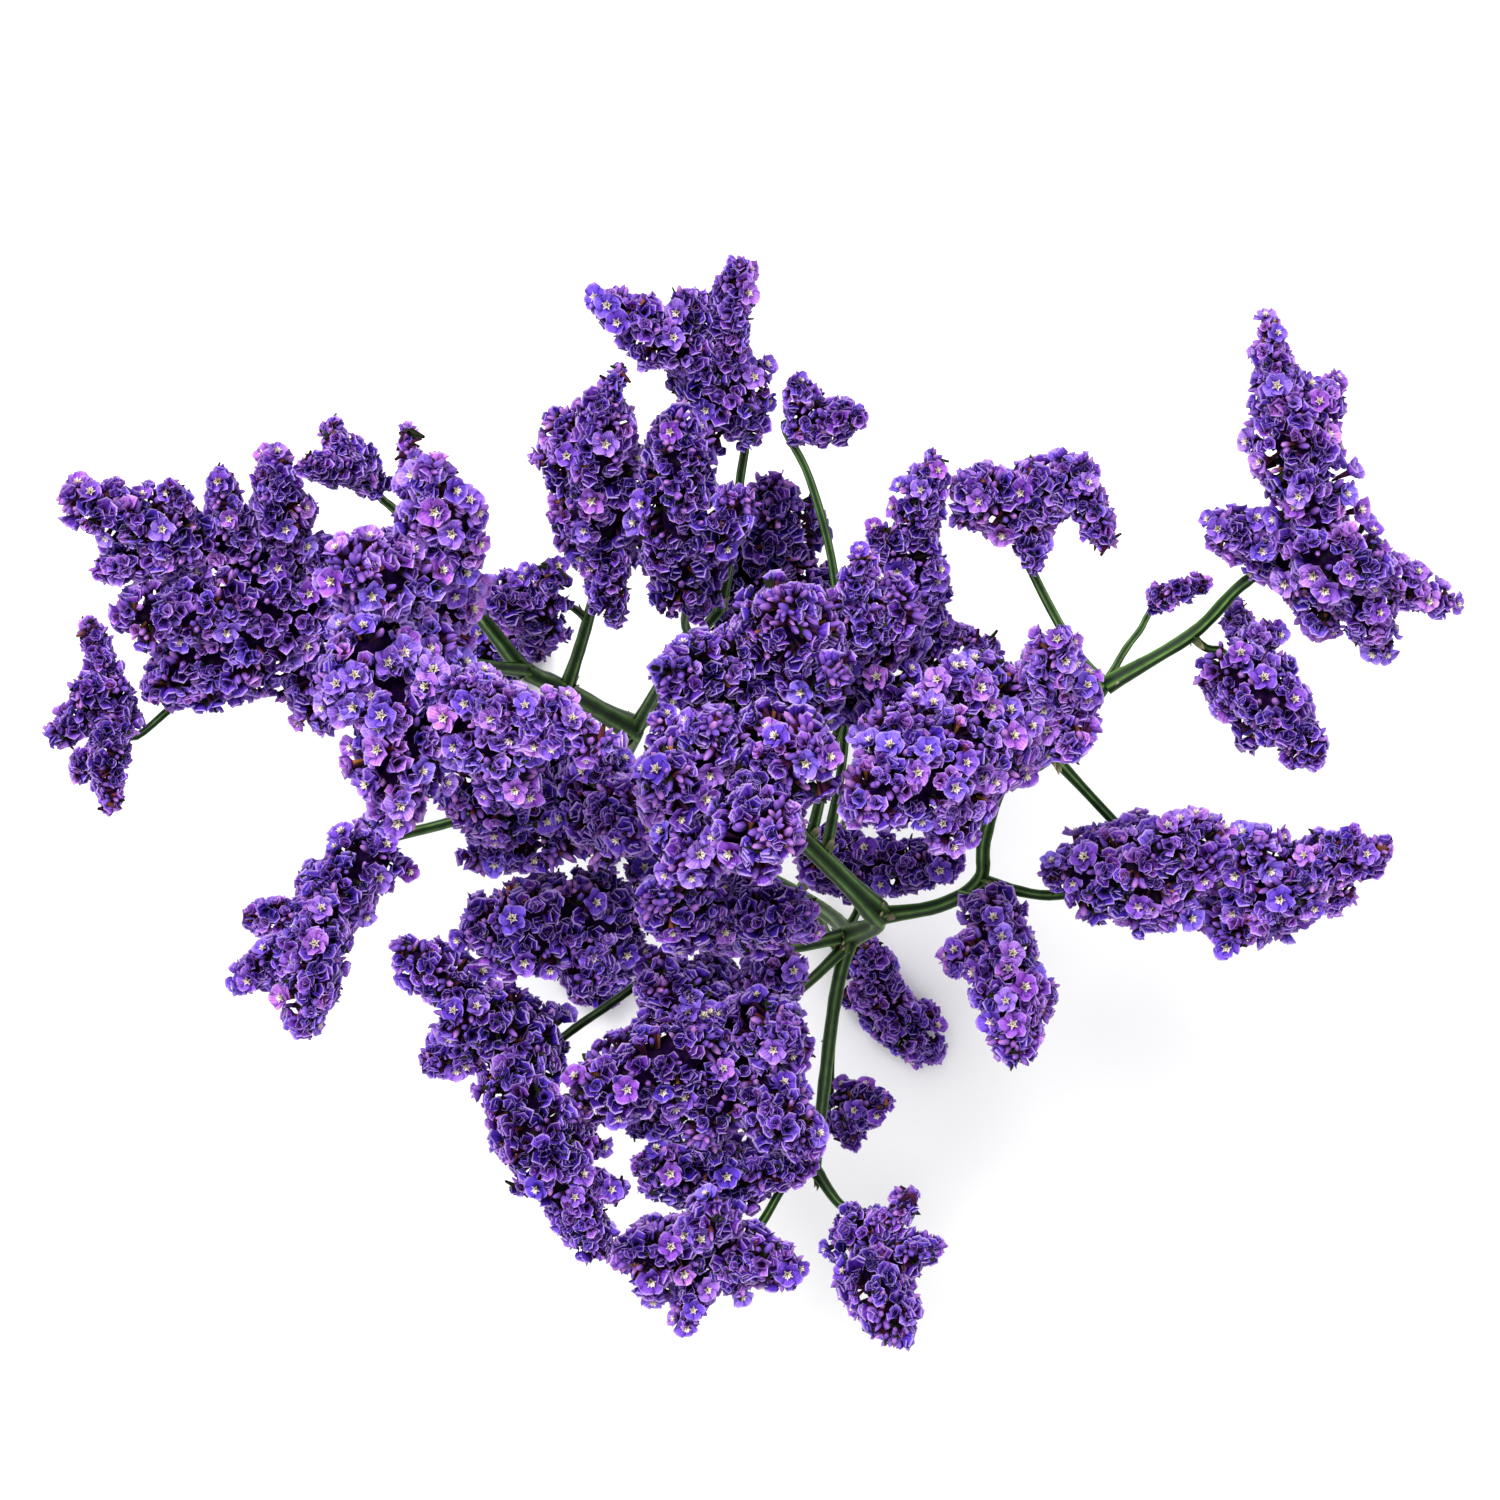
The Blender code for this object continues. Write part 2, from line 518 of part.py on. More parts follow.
def blocked(points, spike, rivals, stem_points, stem_radii):
    """Whether points reach over the half-way line to another spray, or close to a stem."""
    own = spike.depth(points)
    for rival in rivals:
        if (own + SPRAY_GAP > rival.depth(points)).any():
            return True
    gaps = np.linalg.norm(points[:, None] - stem_points, axis=2) - stem_radii
    return bool((gaps < STEM_GAP).any())


def spike_solid(spike, kin, near, stems, eased):
    """The spike as one closed solid: core rings, and a floret or bud raised from each face."""
    rng = random.Random(spike.name)
    solid = Solid()
    rings = []
    frames = []
    for row in range(spike.rows + 1):
        along = row / spike.rows
        point, tangent, side, up = spike.place(along)
        turns = (np.arange(spike.sides) + 0.5 * row) * 2 * math.pi / spike.sides
        spokes = np.cos(turns)[:, None] * side - np.sin(turns)[:, None] * up
        rings.append(solid.add(list(point + spike.core_radius(along) * spokes)))
        frames.append(tangent)
    solid.cap(rings[0][::-1])
    florets = set()
    for row in range(spike.rows):
        for face in range(spike.sides):
            after = (face + 1) % spike.sides
            loop = [rings[row][face], rings[row][after], rings[row + 1][after], rings[row + 1][face]]
            corners = np.array([solid.points[index] for index in loop])
            middle = corners.mean(axis=0)
            along = (row + 0.5) / spike.rows
            outward = unit(middle - spike.place(along)[0])
            lean = LEAN_FOOT + LEAN_RISE * along
            jitter = np.array([rng.uniform(-1, 1) for _ in range(3)]) * GROW_JITTER
            grow = unit(outward + lean * frames[row] + np.array([0, 0, LIFT]) + jitter)
            reach = (spike.radius - CORE_SHARE * spike.radius) / max(grow.dot(outward), LEAST_RISE)
            draw = rng.random()
            size = rng.uniform(*SIZES)
            if any((other.depth(middle[None]) < HIDDEN_DEPTH)[0] for other in kin):
                solid.cap(loop)
                continue
            crowd = any((row + r, (face + f) % spike.sides) in florets for r in (-1, 0) for f in (-1, 0, 1))
            upper = outward[2] > UNDERSIDE
            roomy = row < spike.rows - 1 and spike.radius > SLIM_SPIKE
            floret = upper and draw < FLORET_DRAW and not crowd and roomy
            share = eased.get((row, face), 1.0)
            if share < BARE_SHARE:
                solid.cap(loop)
                continue
            while True:
                if floret and share > LEAST_SHARE:
                    radius = min(FLORET_RADIUS, FLORET_SPIKE_SHARE * spike.radius) * size
                    radius *= EASED_RIM + (1 - EASED_RIM) * share
                    levels, top = floret_rings(corners, grow, reach * share, radius)
                elif upper and draw < BUD_DRAW and share > LEAST_SHARE:
                    levels, top = bud_rings(corners, grow, BUD_HEIGHT * reach * share * size)
                else:
                    height = BRACT_HEIGHT * reach * max(share, LEAST_SHARE) * size
                    levels, top = [], middle + grow * height
                outer = np.concatenate(levels + [top[None]])
                if share <= LEAST_SHARE or not blocked(outer, spike, near, stems[:, :3], stems[:, 3]):
                    break
                share *= EASE_STEP
            if floret:
                florets.add((row, face))
            solid.owner = (row, face)
            for level in levels:
                ring = solid.add(list(level))
                solid.bridge(loop, ring)
                loop = ring
            solid.cone(loop, top)
            solid.owner = None
    end, tangent = spike.place(1.0)[:2]
    solid.cone(rings[-1], end + unit(tangent + [0, 0, LIFT]) * min(TIP_LENGTH, TIP_SHARE * spike.radius))
    return solid


def crossing_owners(solid, sleeve):
    """The florets and buds that cross another or the sleeve round a stem, and those that fold."""
    tree = BVHTree.FromPolygons([Vector(point) for point in solid.points], solid.faces)
    crossed, folded = {solid.owners[one] for one, _ in tree.overlap(sleeve)}, set()
    for one, other in tree.overlap(tree):
        if set(solid.faces[one]) & set(solid.faces[other]):
            continue
        pair = {solid.owners[one], solid.owners[other]}
        crossed |= pair
        if len(pair) == 1:
            folded |= pair
    return crossed - {None}, folded - {None}


def settled_solid(spike, kin, rivals, stems, sleeve):
    """The spike's solid, with what would cross its neighbour made shorter until it doesn't."""
    near = [rival for rival in rivals if rival.depth(spike.axis).min() < NEAR_RADII * spike.radius]
    apart = np.linalg.norm(spike.axis[:, None] - stems[:, :3], axis=2).min(axis=0)
    beside = stems[apart < BESIDE_RADII * spike.radius + BESIDE]
    eased = {}
    for _ in range(EASE_ROUNDS):
        solid = spike_solid(spike, kin, near, beside, eased)
        crossed, folded = crossing_owners(solid, sleeve)
        if not crossed:
            break
        for owner in crossed:
            eased[owner] = eased.get(owner, 1.0) * EASE_STEP
        for owner in folded:
            eased[owner] = min(eased[owner], LEAST_SHARE)
    return solid


def to_object(name, points, faces, home):
    mesh = bpy.data.meshes.new(name)
    mesh.from_pydata([Vector(point) * MM for point in points], [], faces)
    result = bpy.data.objects.new(name, mesh)
    home.objects.link(result)
    return result


def apply_boolean(target, operation, others):
    modifier = target.modifiers.new("join", "BOOLEAN")
    modifier.operation = operation
    modifier.operand_type = "COLLECTION"
    modifier.collection = others
    modifier.solver = "MANIFOLD"
    graph = bpy.context.evaluated_depsgraph_get()
    mesh = bpy.data.meshes.new_from_object(target.evaluated_get(graph))
    target.modifiers.clear()
    target.data = mesh
    for other in list(others.objects):
        bpy.data.objects.remove(other)


def keep_body(target):
    """Keeps the largest shell: fills what joining sealed, and drops a loose scrap."""
    mesh = bmesh.new()
    mesh.from_mesh(target.data)
    left = set(mesh.verts)
    shells = []
    while left:
        shell = {left.pop()}
        edge = list(shell)
        while edge:
            vertex = edge.pop()
            for link in vertex.link_edges:
                other = link.other_vert(vertex)
                if other not in shell:
                    shell.add(other)
                    edge.append(other)
        left -= shell
        shells.append(shell)
    shells.sort(key=len)
    for shell in shells[:-1]:
        bmesh.ops.delete(mesh, geom=list(shell), context="VERTS")
    mesh.to_mesh(target.data)
    mesh.free()


def join(name, pieces, home, cutters):
    """One body from pieces that run into each other."""
    body = pieces[0]
    body.name = name
    for piece in pieces[1:]:
        home.objects.unlink(piece)
        cutters.objects.link(piece)
    if pieces[1:]:
        apply_boolean(body, "UNION", cutters)
    if name in RESTING:
        bpy.ops.mesh.primitive_cube_add(size=MM, location=(0, 0, -TABLE_DEPTH / 2 * MM))
        slab = bpy.context.object
        slab.data.transform(Matrix.Diagonal((TABLE_SIDE, TABLE_SIDE, TABLE_DEPTH, 1)))
        for group in list(slab.users_collection):
            group.objects.unlink(slab)
        cutters.objects.link(slab)
        apply_boolean(body, "DIFFERENCE", cutters)
    keep_body(body)
    return body


def smooth_path(points, steps):
    """A curve through the points, with so many pieces between each two."""
    ends = [2 * points[0] - points[1]] + points + [2 * points[-1] - points[-2]]
    path = []
    for a, b, c, d in zip(ends, ends[1:], ends[2:], ends[3:]):
        for step in range(steps):
            t = step / steps
            path.append(0.5 * (2 * b + (c - a) * t + (2 * a - 5 * b + 4 * c - d) * t**2
                               + (3 * b - a - 3 * c + d) * t**3))
    return path + [points[-1]]


def branch_paths(first_spikes):
    """The path of each branch with the radius at each point, each started on one before it."""
    paths = {}
    for name, (points, start_radius, end_radius, spray) in BRANCHES.items():
        route = [seen(point) for point in points]
        if paths:
            route[0] = nearest(np.concatenate([path[:, :3] for path in paths.values()]), route[0])
        if spray:
            base, tangent = first_spikes[spray].place(0.0)[:2]
            route += [base - tangent * (SEAT_GAP + SEAT_RUN), base - tangent * SEAT_GAP]
        path = np.array(smooth_path(route, 2 if len(route) < FEW_POINTS and not spray else 1))
        radii = np.linspace(start_radius, end_radius, len(path))
        paths[name] = np.column_stack([path, radii])
    return paths


def section_curve(name, reaches, home):
    """The closed section that a branch is swept with, at a radius of one metre."""
    curve = bpy.data.curves.new(name, "CURVE")
    curve.dimensions = "2D"
    spline = curve.splines.new("POLY")
    spline.points.add(len(reaches) - 1)
    for index, (point, reach) in enumerate(zip(spline.points, reaches)):
        turn = 2 * math.pi * index / len(reaches)
        point.co = (reach * math.cos(turn), reach * math.sin(turn), 0, 1)
    spline.use_cyclic_u = True
    section = bpy.data.objects.new(name, curve)
    section.hide_render = True
    section.display_type = "WIRE"
    home.objects.link(section)
    return section


def branch_object(name, path, profile, home):
    """A ridged, tapering branch swept along its path, as a mesh."""
    curve = bpy.data.curves.new(name, "CURVE")
    curve.dimensions = "3D"
    curve.bevel_mode = "OBJECT"
    curve.bevel_object = profile
    curve.use_fill_caps = True
    spline = curve.splines.new("POLY")
    spline.points.add(len(path) - 1)
    for point, (x, y, z, radius) in zip(spline.points, path):
        point.co = (x * MM, y * MM, z * MM, 1)
        point.radius = radius * MM
    swept = bpy.data.objects.new(name, curve)
    home.objects.link(swept)
    graph = bpy.context.evaluated_depsgraph_get()
    mesh = bpy.data.meshes.new_from_object(swept.evaluated_get(graph))
    bpy.data.objects.remove(swept)
    weld = bmesh.new()
    weld.from_mesh(mesh)
    bmesh.ops.remove_doubles(weld, verts=weld.verts, dist=SWEEP_WELD * MM)
    bmesh.ops.recalc_face_normals(weld, faces=weld.faces)
    weld.to_mesh(mesh)
    weld.free()
    result = bpy.data.objects.new(name, mesh)
    home.objects.link(result)
    return result


def bract_object(name, path, home):
    """A pointed scale that hugs the start of a branch."""
    along = unit(path[1, :3] - path[0, :3])
    mesh = bmesh.new()
    bmesh.ops.create_cone(mesh, cap_ends=True, segments=4, radius1=BRACT_RADIUS * MM, radius2=0,
                          depth=BRACT_LENGTH * MM)
    aim = Vector(along).to_track_quat("Z", "Y").to_matrix().to_4x4()
    foot = path[0, :3] + path[0, 3] * (BRACT_SEAT * along - [0, 0, BRACT_DROP])
    centre = Vector(foot + along * BRACT_LENGTH / 2)
    bmesh.ops.transform(mesh, matrix=Matrix.Translation(centre * MM) @ aim, verts=mesh.verts)
    data = bpy.data.meshes.new(name)
    mesh.to_mesh(data)
    mesh.free()
    result = bpy.data.objects.new(name, data)
    home.objects.link(result)
    return result


def material(name, colour, roughness):
    result = bpy.data.materials.new(name)
    result.use_nodes = True
    shader = result.node_tree.nodes["Principled BSDF"]
    shader.inputs["Base Color"].default_value = colour
    shader.inputs["Roughness"].default_value = roughness
    shader.inputs["Metallic"].default_value = 0.0
    return result


def clear_scene():
    for item in list(bpy.data.objects):
        bpy.data.objects.remove(item)


def make_collections():
    scene = bpy.context.scene.collection
    home = bpy.data.collections.new("dried_statice")
    cutters = bpy.data.collections.new("joined_pieces")
    scene.children.link(home)
    scene.children.link(cutters)
    return home, cutters


def plan_spikes():
    spikes = []
    for spray, rows in SPRAYS.items():
        for start, tip, radius in rows:
            earlier = [spike for spike in spikes if spike.spray == spray]
            spikes.append(Spike(spray, start, tip, radius, earlier))
    return spikes


def make_sleeve(paths, home, cutters):
    """Walls round every branch, as a tree that tells what crosses them."""
    section = section_curve("sleeve_section", SLEEVE_SECTION, cutters)
    points, faces = [], []
    for name, path in paths.items():
        piece = branch_object("sleeve_" + name, path + [0, 0, 0, SLEEVE_WIDTH], section, home)
        first = len(points)
        points += [vertex.co / MM for vertex in piece.data.vertices]
        faces += [[first + index for index in face.vertices] for face in piece.data.polygons]
        bpy.data.objects.remove(piece)
    bpy.data.objects.remove(section)
    return BVHTree.FromPolygons(points, faces)


def make_stem(paths, home, cutters):
    ridged = section_curve("ridged_section", RIDGED_SECTION, cutters)
    thin = section_curve("thin_section", THIN_SECTION, cutters)
    pieces = []
    for name, path in paths.items():
        section = ridged if path[0, 3] > THIN_BRANCH else thin
        pieces.append(branch_object("branch_" + name, path, section, home))
        if path[0, 3] > THIN_BRANCH and name != "main":
            pieces.append(bract_object("bract_" + name, path, home))
    bpy.data.objects.remove(ridged)
    bpy.data.objects.remove(thin)
    return join("stem", pieces, home, cutters)


def main():
    clear_scene()
    home, cutters = make_collections()
    spikes = plan_spikes()
    paths = branch_paths({spike.spray: spike for spike in spikes if spike.first})
    stem = make_stem(paths, home, cutters)
    stem.data.materials.append(material("stem_green", GREEN, GREEN_ROUGHNESS))
    violet = material("floret_violet", VIOLET, VIOLET_ROUGHNESS)
    stems = np.concatenate([dense_path(path) for path in paths.values()])
    sleeve = make_sleeve(paths, home, cutters)
    for spray in SPRAYS:
        own = [spike for spike in spikes if spike.spray == spray]
        rivals = [spike for spike in spikes if spike.spray != spray]
        pieces = []
        for spike in own:
            kin = [other for other in own if other is not spike]
            solid = settled_solid(spike, kin, rivals, stems, sleeve)
            pieces.append(to_object(spike.name, solid.points, solid.faces, home))
        body = join(spray, pieces, home, cutters)
        body.data.materials.clear()
        body.data.materials.append(violet)


def dense_path(path, steps=4):
    """The path with points close enough to measure a gap from."""
    spots = np.linspace(0, len(path) - 1, steps * (len(path) - 1) + 1)
    return np.column_stack([np.interp(spots, np.arange(len(path)), column) for column in path.T])


main()
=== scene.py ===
"""A dried statice branch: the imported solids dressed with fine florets, buds and ridged stems.

It lies on its stem with the flower head up, and the camera looks straight down on it.
Tables and lengths are millimetres; the meshes are in metres.
"""

import math
import random

import bpy
import numpy as np
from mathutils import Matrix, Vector


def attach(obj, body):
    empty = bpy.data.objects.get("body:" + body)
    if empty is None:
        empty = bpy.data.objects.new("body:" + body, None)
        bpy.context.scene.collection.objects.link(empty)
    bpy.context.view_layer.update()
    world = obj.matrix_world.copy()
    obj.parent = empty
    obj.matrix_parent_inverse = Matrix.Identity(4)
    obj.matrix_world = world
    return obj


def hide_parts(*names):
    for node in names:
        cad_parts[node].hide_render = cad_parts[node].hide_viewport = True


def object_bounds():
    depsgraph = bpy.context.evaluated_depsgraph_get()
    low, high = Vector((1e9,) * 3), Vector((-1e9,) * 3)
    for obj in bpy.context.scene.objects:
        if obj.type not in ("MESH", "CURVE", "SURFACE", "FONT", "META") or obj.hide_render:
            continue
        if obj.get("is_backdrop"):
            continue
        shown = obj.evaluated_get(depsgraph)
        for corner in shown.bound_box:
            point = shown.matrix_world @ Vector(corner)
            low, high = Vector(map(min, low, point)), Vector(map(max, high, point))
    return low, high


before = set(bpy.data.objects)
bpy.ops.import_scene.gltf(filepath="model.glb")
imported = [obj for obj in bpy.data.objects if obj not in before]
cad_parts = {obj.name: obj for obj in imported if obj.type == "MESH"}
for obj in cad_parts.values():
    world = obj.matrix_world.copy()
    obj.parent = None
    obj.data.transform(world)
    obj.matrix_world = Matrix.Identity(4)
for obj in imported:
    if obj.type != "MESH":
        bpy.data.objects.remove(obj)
cad_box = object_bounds()

MM = 0.001
EYE_HEIGHT = 620.0  # plan places and radii in the tables are as they show from here
MID_HEIGHT = 110.0  # and are true at this height over the table
CENTRE = (-1.99, -10.179)  # middle of the whole in the tables' plan
SPREAD = 1.1  # how far florets reach, as a share of the radius in the tables
TIP_BACK = 0.2  # how far before its tip in the tables a spike's axis ends, in radii
SPIKE_ARCH = 0.07  # rise of its middle, as a share of its length
SEAT_GAP = 0.35  # between the end of a solid branch and the core that sits on it
SEAT_RUN = 2.5  # the branch's straight end before it
SEAT_IN = 2.0  # how far the dressed branch runs on into the core

# Each spray: the share of its clusters with an open floret in the middle, how light it is, and
# its spikes as x, y, z of the start and of the tip, and the radius. Where the lightness is below
# zero, it is painted shade on sprays that lie deeper, under others. The first spike sits on a
# branch of the stem, and each later one starts on the nearest axis before it.
SPRAYS = {
    "spray_left": (0.15, 0.1, [
        (-74, 26, 92, -112, 42, 112, 9), (-108, 40, 110, -137, 51, 122, 7.5),
        (-110, 40, 111, -130, 36, 116, 6.3), (-110, 41, 111, -116, 54, 122, 4),
        (-103, 38, 108, -106, 56, 121, 5.5), (-94, 35, 104, -95, 59, 118, 7),
        (-84, 30, 97, -85, 41, 110, 6.2), (-78, 26, 94, -126, 27, 114, 9),
        (-74, 25, 92, -119, 13, 102, 10.5), (-88, 21, 95, -85, 5, 94, 8)]),
    "spray_left_upper": (0.04, 0, [
        (-75, 52, 108, -85, 65, 118, 5.3), (-76, 53, 110, -90, 57, 122, 4.7)]),
    "spray_far_left": (0.04, 0.06, [
        (-124, 5, 102, -133, 26, 108, 4.8), (-125, 6, 103, -135, 13, 110, 6),
        (-124, 5, 102, -140, 3, 108, 5), (-124, 5, 102, -128, -12, 110, 5),
        (-126, 3, 103, -135, -6, 108, 4.2)]),
    "spray_lower_left": (0.25, 0.1, [
        (-73, -19, 99, -88, -33, 112, 8.5), (-84, -30, 108, -89.5, -56, 120, 7.5),
        (-88, -36, 110, -101, -34, 112, 5), (-86, -38, 110, -102, -47, 114, 6)]),
    "spray_near_left": (0.66, 0.27, [
        (-63, 22, 142, -64, 57, 178, 9), (-63, 28, 146, -81, 36, 178, 12),
        (-63, 24, 143, -82, 11, 176, 12), (-66, 16, 160, -71, -14, 172, 11),
        (-66, 11, 163, -28, 1.5, 182, 7.5), (-50, 8, 160, -45, -8, 172, 8.5),
        (-62, 40, 160, -69, 65, 170, 4.5), (-62, 33, 152, -56, 50, 174, 7.5),
        (-61, 16, 156, -58, 0, 174, 9)]),
    "spray_centre_left": (0.2, -0.08, [
        (-38, -5, 104, -22, -17, 138, 10.5), (-38, -6, 108, -60, -10, 134, 10),
        (-37, -5, 106, -30, -3, 134, 7), (-38, -6, 106, -55, -22, 120, 8.5),
        (-37, -6, 106, -40, -21, 122, 9), (-38, -6, 108, -52, 2, 128, 7.5)]),
    "spray_top_left": (0.2, 0, [
        (-30, 38, 99, -29.5, 70, 122, 9.2), (-29, 62, 118, -26, 77, 124, 4.2),
        (-30, 42, 101, -37, 67, 118, 8.5), (-30, 40, 100, -38, 48, 112, 8),
        (-30, 42, 101, -24, 58, 116, 7.5), (-30, 38, 100, -27, 26, 106, 5.5)]),
    "spray_top_left_side": (0.2, 0, [
        (-39, 29, 92, -54, 31, 100, 7), (-41, 29, 92, -39, 37, 102, 4.8),
        (-43, 29, 91, -42, 20, 82, 6)]),
    "spray_top_middle": (0.2, -0.06, [
        (-13, 30, 100, -15, 66, 122, 9.5), (-13, 34, 102, -1, 51, 118, 7.5)]),
    "spray_top": (0.2, 0, [
        (-2, 64, 102, -11, 80, 114, 9), (-6, 72, 108, -2, 98, 122, 5.6),
        (-8, 78, 112, -29.5, 90, 120, 7), (-8, 78, 112, -14, 91, 120, 6.5),
        (-6, 73, 108, -18, 78.5, 112, 4.2), (-2, 65, 102, 2, 77, 110, 6)]),
    "spray_top_right": (0.04, 0, [
        (9, 65, 106, 22, 67, 114, 6), (9, 65, 106, 9, 74, 114, 4.6)]),
    "spray_top_low": (0.08, -0.4, [
        (2, 24, 54, 5, 52, 76, 11), (2, 28, 58, -10, 38, 74, 8.5), (2, 26, 55, 18, 30, 70, 9)]),
    "spray_centre_upper": (0.2, 0, [
        (4, 10, 120, 8, 30, 144, 12), (4, 11, 121, -17, 15, 146, 10),
        (4, 11, 121, 17, 15, 144, 9.5)]),
    "spray_centre_near": (0.25, 0.04, [
        (-2, -8, 128, -18, -6, 162, 12), (-2, -8, 130, 13, 0, 162, 12),
        (-2, -9, 130, 5, -18, 168, 11), (-3, -9, 130, -13, -22, 158, 11),
        (-2, -8, 130, -9, 5, 162, 9.5), (-8, -2, 148, -19, 6, 154, 6.5)]),
    "spray_centre_right": (0.2, 0, [
        (20, 10, 112, 30, 32, 132, 9.5), (20, 11, 113, 34, 5, 128, 9),
        (20, 10, 112, 21, 30, 134, 9.5), (22, 26, 131, 22, 40, 136, 5)]),
    "spray_centre_lower": (0.2, -0.08, [
        (-4, -32, 106, -19, -30, 130, 10), (-12, -31, 112, -24, -24, 116, 6.5),
        (-4, -32, 107, 11, -33, 126, 8.5), (6, -33, 118, 13, -36, 120, 5)]),
    "spray_right_upper_left": (0.2, 0, [
        (35.5, 16, 94, 32, 53, 118, 6.5), (33, 43, 110, 37, 59, 118, 5.2),
        (33, 34, 106, 25, 44, 116, 6.5), (35, 22, 96, 50, 20, 102, 3.8)]),
    "spray_right_upper": (0.25, 0.08, [
        (54, 45, 106, 58, 55, 118, 8), (54, 46, 108, 41.5, 54, 117, 8),
        (50, 48, 112, 41, 46, 113, 5.4), (56, 48, 111, 68, 57, 118, 7),
        (66, 51, 115, 72, 41, 116, 5.5), (54, 45, 108, 57, 36, 114, 5)]),
    "spray_right_small": (0, 0, [
        (80.5, 28.5, 109, 83, 33, 112, 3.4), (82, 31, 110, 92, 33.5, 114, 3.8)]),
    "spray_far_right": (0.58, 0.16, [
        (104, 37, 117, 115, 44, 126, 8), (113, 44, 123, 104, 77, 134, 9),
        (106, 68, 130, 103, 86, 136, 5), (106, 60, 128, 117, 74, 134, 5.5),
        (105, 38, 118, 92.5, 46, 124, 7), (108, 40, 121, 127, 36, 130, 9),
        (110, 40, 121, 140, 29, 124, 6), (118, 36, 122, 127, 20, 118, 6.5),
        (110, 40, 120, 116, 25, 118, 8)]),
    "spray_right": (0.12, 0, [
        (96, 18, 107, 109, 3, 116, 9.5), (105, 8, 113, 113.5, -2.5, 117, 5.8),
        (96, 18, 108, 97, 30, 103, 5), (98, 17, 109, 105, 25, 110, 5.5)]),
    "spray_right_centre": (0.55, 0.24, [
        (53, 1, 126, 62, 22.5, 158, 7.5), (53, 2, 128, 38, 14, 152, 9.5),
        (54, 6, 136, 67.5, 13, 150, 7.5), (53, 1, 126, 67, 2, 148, 7),
        (53, 1, 127, 55, -1, 150, 6.5), (52, 0, 128, 38, -6, 154, 10),
        (46, -2, 140, 21, -10, 156, 11.5), (48, 1, 136, 23, 3, 151, 9),
        (46, -3, 144, 37, -19, 152, 7.5)]),
    "spray_under_centre": (0.2, -0.2, [
        (22, -26, 58, 11, -18, 68, 7.5), (23, -24, 58, 41.5, -21.5, 68, 6.8)]),
    "spray_right_lower": (0.4, 0.14, [
        (66, -26, 106, 94, -19.5, 120, 10.8), (68, -27, 106, 59, -24, 113, 5.8),
        (74, -27, 109, 86, -33, 116, 8)]),
    "spray_right_lower_tip": (0.38, 0.14, [
        (95, -28, 103, 113, -25.5, 121, 10.5), (98, -27, 107, 96, -39, 114, 7.5),
        (100, -26, 109, 101, -18, 121, 8), (106, -25, 115, 127.9, -19.5, 121, 6),
        (106, -25, 115, 121, -17, 123, 5.5), (106, -25, 115, 121, -30, 118, 5),
        (99, -28, 111, 110, -34, 114, 6)]),
    "spray_lower_right": (0.35, 0.05, [
        (48, -30, 101, 54, -61, 118, 8), (49, -42, 108, 59, -53, 114, 6),
        (48, -34, 104, 40, -44, 112, 6.5)]),
    "spray_bottom_right": (0.12, 0, [
        (22, -94, 104, 29.5, -118, 120, 8), (23, -97, 106, 33, -88, 116, 4.6),
        (26, -104, 110, 38, -99, 116, 5.5), (24, -98, 107, 19, -106, 114, 5.4)]),
    "spray_low_right": (0.2, 0, [
        (22, -46, 4.2, 37, -60.5, 3.2, 6.7), (26, -48, 4, 22.5, -38, 12, 6)]),
    "spray_low_middle": (0.2, -0.15, [
        (17, -73, 62, 27.5, -69.5, 70, 5.6), (19, -72, 63, 20, -79, 69, 4.4)]),
    "spray_lower_middle": (0.26, -0.1, [
        (2, -54, 88, -14, -60, 112, 11.5), (2, -54, 88, -20, -47, 108, 9.5),
        (2, -54, 88, 7, -40, 104, 8), (2, -54, 89, 6.5, -57.5, 116, 9.8),
        (2, -56, 91, 4, -74, 112, 9), (3, -66, 106, 12, -80, 114, 8),
        (-10, -60, 106, -35, -70.5, 114, 9.3), (-6, -60, 100, -9, -78, 110, 9.5),
        (-8, -64, 102, -23, -76, 105, 6.5), (-4, -52, 94, -10, -42, 104, 7),
        (-10, -50, 100, -21, -41, 105, 6)]),
    "spray_lower_centre_left": (0.2, -0.08, [
        (-24, -34, 102, -56, -36, 116, 10.5), (-30, -35, 106, -34, -48, 112, 8),
        (-28, -35, 104, -37, -28, 114, 8.5), (-32, -34, 106, -46, -28, 113, 6.5),
        (-26, -33, 104, -30, -24, 108, 6.5)]),
    "spray_bottom_left": (0.2, -0.08, [
        (-41, -58, 99, -60, -53, 114, 9.5), (-46, -57, 101, -70, -39, 112, 7.5),
        (-42, -58, 100, -48, -72, 114, 9), (-44, -68, 108, -35, -92, 118, 8.5),
        (-42, -72, 110, -30, -79, 112, 5.5), (-40, -82, 114, -47, -88, 116, 4.6),
        (-39, -86, 115, -25, -88, 117, 5), (-50, -58, 104, -65, -62, 108, 6.5),
        (-37, -86, 115, -29, -101, 117, 6)]),
    "spray_bottom_middle": (0.2, -0.1, [
        (2, -85, 96, -22, -83, 108, 8), (1, -85, 97, 12.5, -82, 105, 6)]),
    "spray_bottom": (0.4, 0.08, [
        (-4, -98, 108, -26, -102, 120, 9), (-5, -98, 109, 9, -104, 118, 7),
        (-8, -98, 110, -13, -115, 120, 5.5), (-5, -99, 110, -2, -109, 117, 5),
        (-6, -98, 109, -7, -91, 120, 7)]),
    "spray_low_left": (0.2, 0, [
        (-36, -39, 3.4, -28, -49, 3.4, 6.8), (-33, -43, 4, -22, -41, 12, 6)]),
    "spray_low_upper_left": (0.2, 0, [(-48, 16, 4, -54, 30, 5, 7.5)]),
    "spray_low_upper_right": (0.2, 0, [(33, 4, 3.4, 45, 12, 3.2, 6)]),
}

